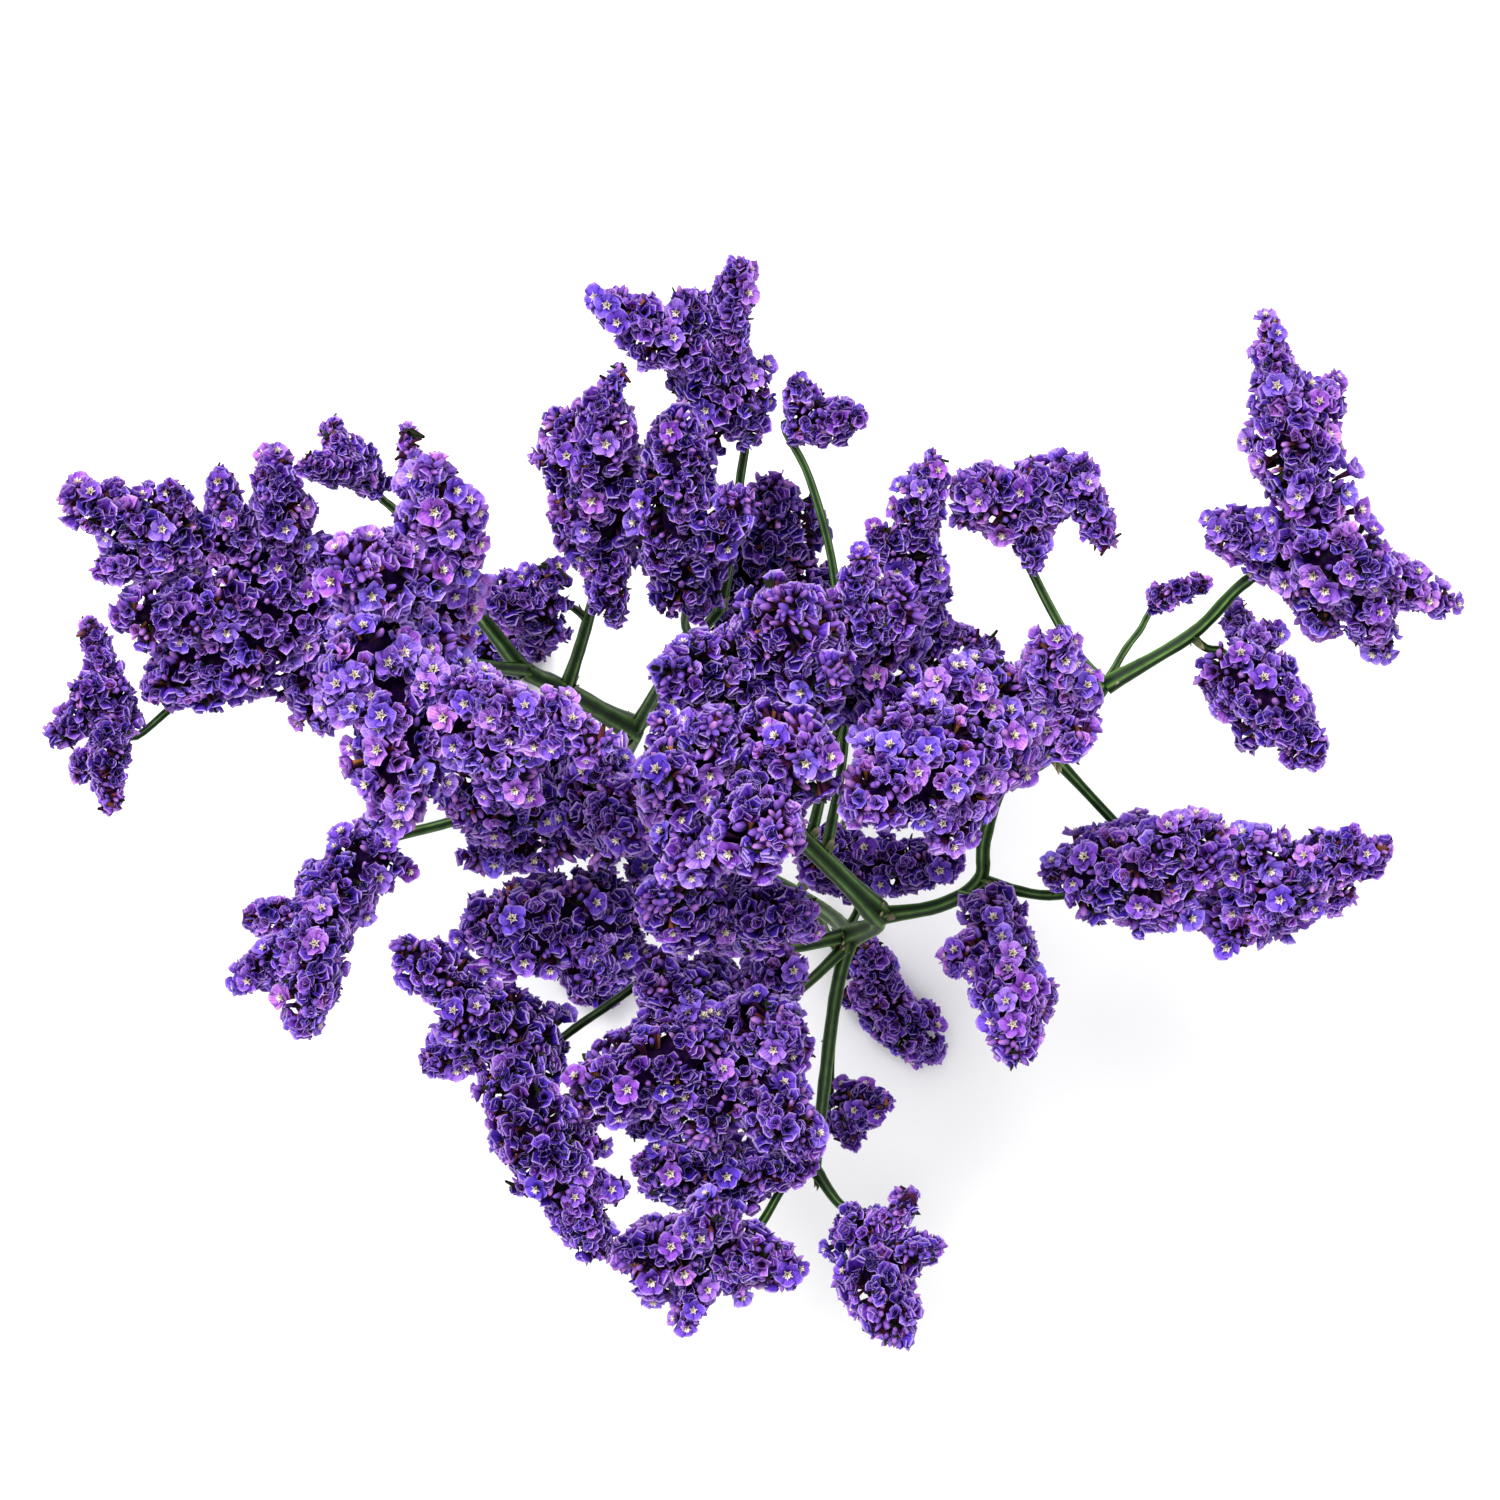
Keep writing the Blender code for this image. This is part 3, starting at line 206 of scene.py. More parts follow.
# Each branch: its points, and the radius at its start and at its end. It starts on the axis of
# one above it in the list. A branch named to_X ends in spray_X, and one limb ends in a spray too.
BRANCHES = {
    "main": ([(-115, 30, 1.7), (-85, 17, 1.7), (-52, 3, 1.8), (-22, -13, 3), (4, -26, 16),
              (16, -33, 40), (20, -37, 62)], 2, 1.7),
    "left_riser": ([(-22, -13, 3), (-26, -4, 24), (-23, 4, 56)], 1.9, 1.8),
    "right_limb": ([(20, -37, 62), (25, -35, 78), (26, -33, 86)], 1.9, 1.9),
    "centre_limb": ([(26, -33, 86), (18, -25, 96), (9, -16, 104), (3, -9, 110)], 2.1, 1.7),
    "right_reach": ([(26, -33, 86), (38, -31, 92), (46, -26, 96), (47, -18, 98), (51, -6, 101),
                     (59, -2, 104), (66, 6, 106), (71, 13, 108)], 1.4, 1.3),
    "far_reach": ([(20, -37, 62), (17, -50, 66), (14.5, -70, 80), (13, -84, 92)], 1.5, 1.1),
    "lower_limb": ([(20, -37, 62), (4, -40, 76), (-14, -37, 92)], 1.3, 1.1),
    "left_limb": ([(-23, 4, 56), (-31, 8.5, 66), (-38, 12.5, 77), (-45, 16, 85), (-50, 22, 91),
                   (-54, 27, 96)], 2.2, 1.4),
    "top_limb": ([(-23, 4, 56), (-16, 16, 76), (-6, 28, 86)], 1.3, 1),
    "lower_left_limb": ([(-23, 4, 56), (-30, 0, 66), (-42, -4, 76), (-56, -13, 90)], 1.2, 0.9),
    "to_left": ([(-54, 27, 96), (-64, 26, 92)], 1.1, 0.9),
    "to_left_upper": ([(-54, 27, 96), (-60, 38, 100), (-71, 48, 104)], 0.9, 0.7),
    "to_near_left": ([(-45, 16, 85), (-54, 17, 110), (-62, 19, 130)], 1.2, 0.9),
    "to_far_left": ([(-60, 25, 93), (-74, 18, 84), (-92, 14, 84), (-110, 12, 93)], 0.9, 0.7),
    "to_centre_left": ([(-38, -3, 73), (-38, -4, 90)], 1, 0.8),
    "to_top_left": ([(-36, 13, 76), (-33, 24, 87)], 1.25, 1),
    "to_top_left_side": ([(-33, 26, 88), (-35.5, 28.5, 90)], 0.7, 0.6),
    "to_top_middle": ([(-10, 23, 81), (-13, 25, 90)], 0.9, 0.8),
    "to_top": ([(-6, 28, 86), (-3, 44, 94), (-2, 54, 98)], 1, 0.8),
    "to_top_right": ([(15, -22, 98), (19, 4, 98), (17, 34, 102), (12, 54, 104)], 0.9, 0.7),
    "to_top_low": ([(-23, 4, 56), (-12, 14, 52)], 0.9, 0.8),
    "to_centre_upper": ([(3, -9, 110), (4, 2, 114)], 1, 0.8),
    "to_centre_near": ([(3, -9, 110), (0, -8, 118)], 1, 0.9),
    "to_centre_right": ([(12, -19, 101), (17, 2, 106)], 0.9, 0.8),
    "to_centre_lower": ([(4, -40, 76), (0, -33, 94)], 0.9, 0.8),
    "to_right_upper_left": ([(66, 6, 106), (52, 7, 96), (40, 9, 91)], 0.8, 0.7),
    "to_right_upper": ([(71, 13, 108), (65, 20, 106), (58, 32.5, 104)], 1, 0.8),
    "to_right_small": ([(71, 13, 108), (75, 20, 107.5), (78, 24, 107)], 0.7, 0.6),
    "to_far_right": ([(71, 13, 108), (88, 23, 110), (97, 32, 114)], 1.35, 1),
    "to_right": ([(87, 22, 110), (91, 20.5, 107)], 0.8, 0.7),
    "to_right_centre": ([(51, -6, 101), (52, -1, 114)], 1, 0.9),
    "to_under_centre": ([(20, -37, 60), (22, -31, 56)], 0.9, 0.8),
    "to_right_lower": ([(46, -26, 96), (58, -29, 101), (67, -28, 103)], 1, 0.9),
    "to_right_lower_tip": ([(60, -1.5, 104), (72, -13.5, 104), (82, -24, 96), (89, -28, 97)], 0.9,
                           0.8),
    "to_lower_right": ([(42, -28, 94), (45, -29, 98)], 1, 0.9),
    "to_bottom_right": ([(13, -84, 92), (18, -91, 100)], 1, 0.9),
    "to_low_right": ([(12, -33, 30), (16, -38, 13)], 0.9, 0.8),
    "to_low_middle": ([(16, -58, 70), (16, -69, 62)], 0.8, 0.7),
    "to_lower_middle": ([(19, -40, 62), (10, -48, 72), (3, -52, 82)], 1.1, 0.9),
    "to_lower_centre_left": ([(-14, -37, 92), (-19, -35, 98)], 1, 0.9),
    "to_bottom_left": ([(-10, -38, 88), (-24, -48, 90), (-34, -55, 94)], 0.9, 0.8),
    "to_bottom_middle": ([(13, -84, 92), (8, -85, 93)], 0.8, 0.7),
    "to_bottom": ([(13, -79, 88), (8, -85, 96), (2, -95, 105)], 0.9, 0.8),
    "to_low_left": ([(-22, -13, 3), (-31, -24, 3.4), (-37, -34, 3.4)], 1, 0.8),
    "to_low_upper_left": ([(-52, 3, 1.8), (-51, 11, 3.4)], 0.9, 0.8),
    "to_low_upper_right": ([(8, -30, 22), (22, -10, 7)], 0.9, 0.8),
}
LIMB_ENDS = {"lower_left_limb": "spray_lower_left"}

AXIS_STEPS = 9
SEAT_STEPS = 2  # a spike forks from another no nearer its start than this many steps
PLUMB = (0.05, 0.02, 1)  # no spike runs along it
NEAR_TURN = 6.3  # about a full turn

# How florets are spread over a spike
OUTER_SHAPE = ((0.0, 0.84), (0.15, 0.97), (0.4, 1.0), (0.7, 0.95), (0.9, 0.78), (1.0, 0.56))
MEAN_OUTER = 0.9  # of the reach halfway
OUTER_STEPS = 41
RIM_REACH = 1.1  # of petals over the floret's head
FLORET_DEPTH = 4.2  # from the core to the florets' heads
LEAST_CORE = 0.3  # of the florets' reach
CORE_RINGS, CORE_SIDES = 8, 8
FLORET_PITCH = 2.2  # one floret for each square of this side
LEAST_ROUND, LEAST_TIP = 5, 3  # florets on a spike's sides and on its tip
TIP_LEAN = 0.25  # toward the tip, of the florets near it
CLUSTER_PITCH = 5.8
CLUSTER_TILT = 0.13  # how much a floret leans from the middle of its cluster, for each mm
CLUSTER_DROP = 0.095  # how much lower it stands, for each square mm
MOST_DROP = 1.7
CLUSTER_REACH, MORE_REACH = 0.9, 0.34  # the least, and what chance may add
CLUSTER_SHADE = (0.3, 0.7)
GOLDEN_TURN = 2.39996
TURN_JITTER = 0.1  # for each mm of pitch
RAGGED = 0.22  # leaning by chance
SLIM_SIZE, SIZE_BY_RADIUS = 0.5, 0.06  # slim spikes bear smaller florets
HIDDEN = 1.3  # what lies deeper than this in another spike is left out
DRAWN_IN = (0.0, 0.8, 1.6, 2.4)  # how far a floret that would meet another spike may stand lower
RIVAL_REACH = 2.5  # other sprays' spikes are passed over farther off than so many radii
RIVAL_DEPTH = -0.3  # a head no deeper in one of them doesn't meet it
STEM_ROOM = 1.3  # between a head and a stem
FLOOR_GAP = 1.8
TABLE_GAP = 0.05  # what would reach the table is pressed flat just over it
OPEN_RADIUS = (2.6, 3.3)
OPEN_RISE = (0.1, 0.8)  # how much open florets turn up
OPEN_ROOM = 2.0  # free of other florets
OPEN_SPIKE = 4  # the radius over which a spike bears open florets
HALF_RADIUS = (1.1, 1.6)
BUD_SIZE = (0.95, 1.3)
BUD_SHARE = 0.24
TIP_START, TIP_BUDS = 0.75, 0.4  # a spike's tip has more of them
BRACT_SHARE = 0.2
BRACT_LEAN, BRACT_OUT, BRACT_BACK = 0.4, 0.5, 2.5
UNDER = -0.25  # florets that look down more than this are sparser and plainer
UNDER_SIZE = 1.25

# Height of a head over its floret's foot, in sizes
HEAD_HEIGHT = {"open": 0.5, "half": 1.2, "plain": 1.2, "bud": 2.4}
OPEN_PETAL, HALF_PETAL, BUD, BRACT, CREAM, CORE = range(6)

# A petal of about unit length
PETALS = 5
PETAL_LENGTH = 0.9
END_ROUND = 0.3  # how much shorter its sides are than its middle
NOTCH_DEPTH, NOTCH_WIDTH = 0.07, 0.3
FOOT_WIDTH = 0.25  # of its widest
WIDEST, END_TAPER = 0.7, 0.45  # where it is widest, and how it narrows from there
THROAT = 0.1  # how far from the floret's middle it starts
CURL, TWIST = 0.2, 0.14  # rise of both sides, and of one
RUFFLE, RUFFLE_WAVES = 0.09, 3.2
MOST_DROOP = 0.12

# Stems
PATH_STEPS = 6  # pieces between two points in the table
RING_POINTS = 20
RIDGES, RIDGE_DEPTH, RIDGE_ROUND = 5, 0.16, 0.8
SWELL = 0.05  # by chance at each ring
KNOB, KNOB_RINGS = 0.35, 2.2  # swelling at a fork, and how far it goes
PALE_HEIGHT, DARK_HEIGHT = 20, 130  # low branches are paler
FORK_SCALES = 3
SCALE_SIZE = (1.0, 1.7)

# Stage: lengths in metres, powers in watts; lights are (place, size, power)
FLOOR_SIDE = 6
SKY_STRENGTH = 0.78
LIGHTS = {"key": ((-0.6, 0.7, 1.5), 0.9, 34), "fill": ((0.9, -0.5, 1.4), 1.4, 6)}
LENS, SENSOR = 61.2, 36  # in mm
WHITE, BLACK = (1.0,) * 3, (0.0,) * 3


def unit(vector):
    return vector / max(np.linalg.norm(vector), 1e-9)


def units(vectors):
    return vectors / np.maximum(np.linalg.norm(vectors, axis=-1, keepdims=True), 1e-9)


def clamped(value):
    return min(1.0, max(0.0, value))


def scale_at(z):
    return (EYE_HEIGHT - z) / (EYE_HEIGHT - MID_HEIGHT)


def seen(place):
    """The true place of one whose plan is as it shows from EYE_HEIGHT."""
    x, y, z = place
    return np.array([x * scale_at(z) - CENTRE[0], y * scale_at(z) - CENTRE[1], z])


def nearest(points, place):
    return points[np.argmin(np.linalg.norm(points - place, axis=1))]


class Spike:
    """One flower spike: a curved axis, and the radius of its core and of its florets along it."""

    def __init__(self, spray, start, tip, radius, earlier):
        self.spray = spray
        self.name = f"{spray}_{len(earlier)}"
        self.first = not earlier
        start, tip = seen(start), seen(tip)
        tip = tip - TIP_BACK * radius * unit(tip - start)
        if earlier:
            start = nearest(np.concatenate([spike.axis[SEAT_STEPS:] for spike in earlier]), start)
        self.radius = SPREAD * radius * scale_at(tip[2])
        self.small = min(1.0, SLIM_SIZE + SIZE_BY_RADIUS * self.radius)
        self.length = np.linalg.norm(tip - start)
        crest = (start + tip) / 2 + [0, 0, 2 * SPIKE_ARCH * self.length]
        steps = np.linspace(0, 1, AXIS_STEPS)[:, None]
        self.axis = (1 - steps) ** 2 * start + 2 * steps * (1 - steps) * crest + steps**2 * tip

    def core(self, along):
        outer = self.outer(along)
        return np.maximum(LEAST_CORE * outer, outer - FLORET_DEPTH)

    def outer(self, along):
        return self.radius * np.interp(along, *zip(*OUTER_SHAPE)) - RIM_REACH

    def place(self, along):
        """The axis point, and the frame there: tangent, side and up."""
        spot = along * (AXIS_STEPS - 1)
        low = min(int(spot), AXIS_STEPS - 2)
        point = self.axis[low] + (spot - low) * (self.axis[low + 1] - self.axis[low])
        tangent = unit(self.axis[min(low + 2, AXIS_STEPS - 1)] - self.axis[max(low - 1, 0)])
        side = unit(np.cross(tangent, PLUMB))
        return point, tangent, side, np.cross(side, tangent)

    def depth(self, points):
        """How far each point lies outside the florets' reach, less than zero inside it."""
        starts, runs = self.axis[:-1], np.diff(self.axis, axis=0)
        share = np.einsum("psk,sk->ps", points[:, None] - starts, runs) / (runs**2).sum(1)
        behind = share[:, 0] < 0
        share = np.clip(share, 0, 1)
        gaps = np.linalg.norm(points[:, None] - (starts + share[..., None] * runs), axis=2)
        gaps[behind, 0] += 2 * self.radius  # another spike goes on there
        along = (np.arange(AXIS_STEPS - 1) + share) / (AXIS_STEPS - 1)
        return (gaps - self.outer(along)).min(axis=1)


class Shape:
    """Points, where each is on its petal (along, across), triangles, and their material slots."""

    def __init__(self):
        self.points, self.looks, self.faces, self.slots = [], [], [], []

    def grid(self, points, looks, slot, closed=False):
        """A grid of rows of points, as two triangles a cell."""
        rows, columns = points.shape[:2]
        first = sum(len(part) for part in self.points)
        self.points.append(points.reshape(-1, 3))
        self.looks.append(looks.reshape(-1, 2))
        index = first + np.arange(rows * columns).reshape(rows, columns)
        if closed:
            index = np.concatenate([index, index[:, :1]], axis=1)
        a, b, c, d = index[:-1, :-1], index[:-1, 1:], index[1:, 1:], index[1:, :-1]
        faces = np.stack([np.stack([a, b, c], -1), np.stack([a, c, d], -1)], -2).reshape(-1, 3)
        self.faces.append(faces)
        self.slots.append(np.full(len(faces), slot))

    def done(self):
        for part in ("points", "looks", "faces", "slots"):
            setattr(self, part, np.concatenate(getattr(self, part)))
        return self


def turned(points, turn):
    """The points turned about the upright through their origin."""
    c, s = math.cos(turn), math.sin(turn)
    x, y, z = points[..., 0], points[..., 1], points[..., 2]
    return np.stack([c * x - s * y, s * x + c * y, z], -1)


def petal(rows, columns, tilt, rng, cup, width):
    """One petal from the throat out, raised by tilt, with a rounded, notched end."""
    u, v = np.meshgrid(rows, columns, indexing="ij")  # along it, and across it from -1 to 1
    notch = NOTCH_DEPTH * np.exp(-((v / NOTCH_WIDTH) ** 2)) * u**4
    out = PETAL_LENGTH * u * (1 - END_ROUND * v**2) - notch
    widening = (1 - FOOT_WIDTH) * np.sin(np.pi / 2 * np.minimum(1, u / WIDEST))
    half = width * (FOOT_WIDTH + widening - END_TAPER * np.maximum(0, u - WIDEST))
    ruffle = RUFFLE * u * np.sin(RUFFLE_WAVES * v + rng.uniform(0, NEAR_TURN))
    rise = cup * (u - u**2) + CURL * v**2 * u + TWIST * v * u + ruffle
    rise = rise - rng.uniform(0.0, MOST_DROOP) * u**3
    x = THROAT + out * math.cos(tilt) - rise * math.sin(tilt)
    z = out * math.sin(tilt) + rise * math.cos(tilt)
    return np.stack([x, v * half, z], -1), np.stack([u, 0.5 + 0.5 * v], -1)


def tube(shape, levels, sides, slot, looks):
    """Rings (height, radius) round the upright; looks say how far along each is coloured."""
    turns = np.arange(sides) * 2 * np.pi / sides
    points = np.array([[(r * math.cos(t), r * math.sin(t), z) for t in turns] for z, r in levels])
    across = np.tile(np.arange(sides) / sides, (len(levels), 1))
    along = np.tile(np.array(looks)[:, None], (1, sides))
    shape.grid(points, np.stack([along, across], -1), slot, closed=True)


def calyx(shape, foot, height, radius):
    """The dark sheath that a floret stands in, down to its foot on the core."""
    tube(shape, [(foot, 0.45 * radius), (height, radius)], PETALS, BRACT, (0, 1))


def whorl(shape, rng, rows, columns, tilt, slot, *, cup, width, size,
          start=0.0, count=PETALS, loose=0.15):
    """A ring of petals round the upright, the looser the less alike."""
    for k in range(count):
        points, looks = petal(rows, columns, tilt + rng.uniform(-loose, loose), rng, cup, width)
        turn = start + 2 * np.pi * k / count + rng.uniform(-0.8, 0.8) * loose
        own_size = rng.uniform(1 - 0.8 * loose, 1 + 0.6 * loose)
        shape.grid(turned(points * size * own_size, turn), looks, slot)


def open_floret(seed):
    """Five rounded petals spread round a pale star of stamens, one unit in radius."""
    rng = random.Random(seed)
    shape = Shape()
    tilt = rng.uniform(0.4, 0.8)
    rows, columns = (0, 0.35, 0.75, 1), (-1, -0.35, 0.35, 1)
    whorl(shape, rng, rows, columns, tilt, OPEN_PETAL, cup=-0.3, width=0.5, size=1.06)
    turns = np.arange(2 * PETALS) * np.pi / PETALS
    arm = np.where(np.arange(2 * PETALS) % 2 == 0, 0.38, 0.16)
    star = np.stack([arm * np.cos(turns), arm * np.sin(turns), 0.3 + 0.4 * arm], -1)
    middle = np.tile([0.0, 0.0, 0.2], (2 * PETALS, 1))
    looks = np.stack([np.full((2, 2 * PETALS), 0.7), np.zeros((2, 2 * PETALS))], -1)
    shape.grid(np.stack([middle, star]), looks, CREAM, closed=True)
    for k in range(PETALS):
        turn = 2 * np.pi * (k + 0.5) / PETALS + rng.uniform(-0.2, 0.2)
        reach = rng.uniform(0.14, 0.24)
        foot = [(0.0, -0.03, 0.15), (0.0, 0.03, 0.15)]
        stamen = np.array([foot, [(reach, -0.06, 0.55), (reach, 0.06, 0.5)]])
        shape.grid(turned(stamen, turn), np.ones((2, 2, 2)), CREAM)
    calyx(shape, foot=-1.0, height=0.12, radius=0.26)
    return shape.done()


def half_floret(seed, tilt):
    """Five short petals standing up round a throat; the rim is one unit in radius."""
    rng = random.Random(seed)
    shape = Shape()
    rows, columns = (0, 0.55, 1), (-1, 0, 1)
    if seed % 3 == 0:
        whorl(shape, rng, rows, columns, 1.12, HALF_PETAL,
              cup=-0.25, width=0.44, size=2.3, loose=0.3)
    else:
        whorl(shape, rng, rows, columns, tilt, HALF_PETAL,
              cup=-0.3, width=0.6, size=1.55, loose=0.32)
        whorl(shape, rng, (0, 1), (-1, 1), 1.15, HALF_PETAL,
              cup=0.0, width=0.55, size=1.0, start=0.6, count=3, loose=0.4)
    calyx(shape, foot=-2.4, height=0.5, radius=0.42)
    return shape.done()


def plain_floret(seed, tilt):
    """A half-open floret for the underside."""
    rng = random.Random(seed)
    shape = Shape()
    whorl(shape, rng, (0, 1), (-1, 0, 1), tilt, HALF_PETAL, cup=0.0, width=0.7, size=1.5)
    calyx(shape, foot=-2.4, height=0.5, radius=0.42)
    return shape.done()


def bud(seed, plump):
    """A closed bud, pointed and a little bent, about four units long."""
    rng = random.Random(seed)
    shape = Shape()
    levels = [(0.2, 0.42), (1.2, 0.6 * plump), (2.2, 0.42 * plump), (2.7, 0.04)]
    tube(shape, levels, PETALS, BUD, (0, 0.4, 0.8, 1))
    bend = rng.uniform(0.02, 0.1)
    shape.points[0][:, 0] += bend * shape.points[0][:, 2] ** 2 * 0.5
    calyx(shape, foot=-1.6, height=0.9, radius=0.58)
    return shape.done()


def bract_scale():
    """A pointed scale that stands off the core."""
    shape = Shape()
    rows, columns = np.array([0, 0.4, 0.75, 1]), np.array([-1, 0, 1])
    widths = np.array([0.45, 0.6, 0.38, 0.03])
    points = [[(width * v, 0.35 * u**2 - 0.25 * v * v, 2.4 * u) for v in columns]
              for u, width in zip(rows, widths)]
    looks = np.stack(np.meshgrid(rows, columns * 0.5 + 0.5, indexing="ij"), -1)
    shape.grid(np.array(points), looks, BRACT)
    return shape.done()


class Gathered(Shape):
    """Copies of shapes gathered into one mesh."""

    def __init__(self):
        super().__init__()
        self.count = 0

    def put(self, shape, places, frames, sizes, tones, others):
        """Copies at places, their axes the frames' columns; tones and others vary their colour."""
        sized = shape.points * np.asarray(sizes)[:, None, None]
        points = np.einsum("mij,mnj->mni", frames, sized) + places[:, None]
        many, each = points.shape[:2]
        looks = np.empty((many, each, 4), np.float32)
        looks[..., 0] = np.asarray(tones)[:, None]
        looks[..., 1:3] = shape.looks
        looks[..., 3] = np.asarray(others)[:, None]
        starts = self.count + each * np.arange(many)
        self.points.append(points.reshape(-1, 3))
        self.looks.append(looks.reshape(-1, 4))
        self.faces.append((shape.faces + starts[:, None, None]).reshape(-1, 3))
        self.slots.append(np.tile(shape.slots, many))
        self.count += many * each

    def put_once(self, shape, tone, other):
        self.put(shape, np.zeros((1, 3)), np.eye(3)[None], [1.0], [tone], [other])

    def mesh(self, name, materials):
        points = np.concatenate(self.points)
        points[:, 2] = np.maximum(points[:, 2], TABLE_GAP)
        points *= MM
        faces = np.concatenate(self.faces).astype(np.int32)
        result = bpy.data.meshes.new(name)
        result.vertices.add(len(points))
        result.vertices.foreach_set("co", points.astype(np.float32).ravel())
        result.loops.add(faces.size)
        result.loops.foreach_set("vertex_index", faces.ravel())
        result.polygons.add(len(faces))
        result.polygons.foreach_set("loop_start", np.arange(0, faces.size, 3, dtype=np.int32))
        result.polygons.foreach_set("material_index", np.concatenate(self.slots).astype(np.int32))
        result.polygons.foreach_set("use_smooth", np.ones(len(faces), bool))
        look = result.color_attributes.new("look", "FLOAT_COLOR", "POINT")
        look.data.foreach_set("color", np.concatenate(self.looks).astype(np.float32).ravel())
        for material in materials:
            result.materials.append(material)
        result.update(calc_edges=True)
        result.validate()
        return result


def add_object(name, data):
    made = bpy.data.objects.new(name, data)
    bpy.context.scene.collection.objects.link(made)
    return made


def frames_along(directions, spins):
    """Frames whose third axis is the direction, turned about it by the spin."""
    helper = np.where(np.abs(directions[:, 2:]) < 0.9, [[0.0, 0.0, 1.0]], [[1.0, 0.0, 0.0]])
    first = units(np.cross(helper, directions))
    second = np.cross(directions, first)
    c, s = np.cos(spins)[:, None], np.sin(spins)[:, None]
    return np.stack([c * first + s * second, -s * first + c * second, directions], axis=2)


def plan_spikes():
    spikes = []
    for spray, (_, _, rows) in SPRAYS.items():
        for *ends, radius in rows:
            earlier = [spike for spike in spikes if spike.spray == spray]
            spikes.append(Spike(spray, ends[:3], ends[3:], radius, earlier))
    return spikes


def spoke(index, pitch, rng, side, up):
    """The way out from an axis: each index a golden turn on, a little off by chance."""
    turn = index * GOLDEN_TURN + rng.uniform(-TURN_JITTER, TURN_JITTER) * pitch
    return math.cos(turn) * side - math.sin(turn) * up


def spread_places(spike, pitch, rng):
    """Evenly spread (axis point, outward way, share along the spike), one a square of pitch."""
    steps = np.linspace(0, 1, OUTER_STEPS)
    weight = np.cumsum(spike.outer(steps))
    girth = 2 * math.pi * MEAN_OUTER * spike.outer(0.5)
    count = max(LEAST_ROUND, round(girth * spike.length / pitch**2))
    places = []
    for index in range(count):
        along = np.interp((index + 0.5) / count * weight[-1], weight, steps)
        point, tangent, side, up = spike.place(along)
        outward = unit(spoke(index, pitch, rng, side, up) + TIP_LEAN * along * tangent)
        places.append((point, outward, along))
    point, tangent, side, up = spike.place(1.0)
    count = max(LEAST_TIP, round(2 * math.pi * float(spike.outer(1.0)) ** 2 / pitch**2))
    for index in range(count):
        rise = (index + 0.5) / count
        outward = rise * tangent + math.sqrt(1 - rise**2) * spoke(index, pitch, rng, side, up)
        places.append((point, outward, 1.0))
    return places


def spike_elements(spike):
    """What grows on a spike: (kind, head, direction, size, tone, other, place on its reach)."""
    rng = random.Random("dress " + spike.name)
    # light: the spray's lightness; where below zero it is painted shade on sprays under others
    open_share, light, _ = SPRAYS[spike.spray]
    chance = open_share if spike.radius > OPEN_SPIKE else 0.0
    clusters = spread_places(spike, CLUSTER_PITCH, rng)
    middles = np.array([point + outward * spike.outer(along) for point, outward, along in clusters])
    shares = [CLUSTER_REACH + MORE_REACH * rng.random() ** 2 for _ in clusters]
    shades = [rng.uniform(*CLUSTER_SHADE) + light for _ in clusters]
    found = []
    for (point, outward, along), middle, share in zip(clusters, middles, shares):
        if outward[2] > UNDER and rng.random() < chance:
            aim = unit(outward + [0, 0, rng.uniform(*OPEN_RISE)])
            tone = clamped(0.5 + light + rng.uniform(-0.3, 0.4))
            head = point + outward * (spike.outer(along) * share + 0.2)
            size = rng.uniform(*OPEN_RADIUS) * spike.small
            found.append(("open", head, aim, size, tone, rng.random(), middle))
    places = spread_places(spike, FLORET_PITCH * spike.small, rng)
    for index, (point, outward, along) in enumerate(places):
        under = outward[2] < UNDER
        if under and index % 2:
            continue
        place = point + outward * spike.outer(along)
        nearby = int(np.argmin(np.linalg.norm(middles - place, axis=1)))
        offset = place - middles[nearby]
        low = min(MOST_DROP, CLUSTER_DROP * offset.dot(offset) + rng.uniform(-0.3, 0.5))
        head = point + outward * (spike.outer(along) * shares[nearby] - low)
        ragged = [rng.uniform(-RAGGED, RAGGED) for _ in range(3)]
        aim = unit(outward + CLUSTER_TILT * offset + ragged)
        # Florets that stand lower, between the clusters, get a darker tone: painted shade
        tone = clamped(shades[nearby] + rng.uniform(-0.3, 0.34) - 0.2 * low)
        tip = max(0.0, along - TIP_START)
        closed = rng.random() < BUD_SHARE + TIP_BUDS * tip / (1 - TIP_START)
        size = rng.uniform(*(BUD_SIZE if closed else HALF_RADIUS)) * spike.small
        size = size * UNDER_SIZE if under else size
        kind = "bud" if closed else "plain" if under else "half"
        found.append((kind, head, aim, size, tone, rng.random(), place))
    return found


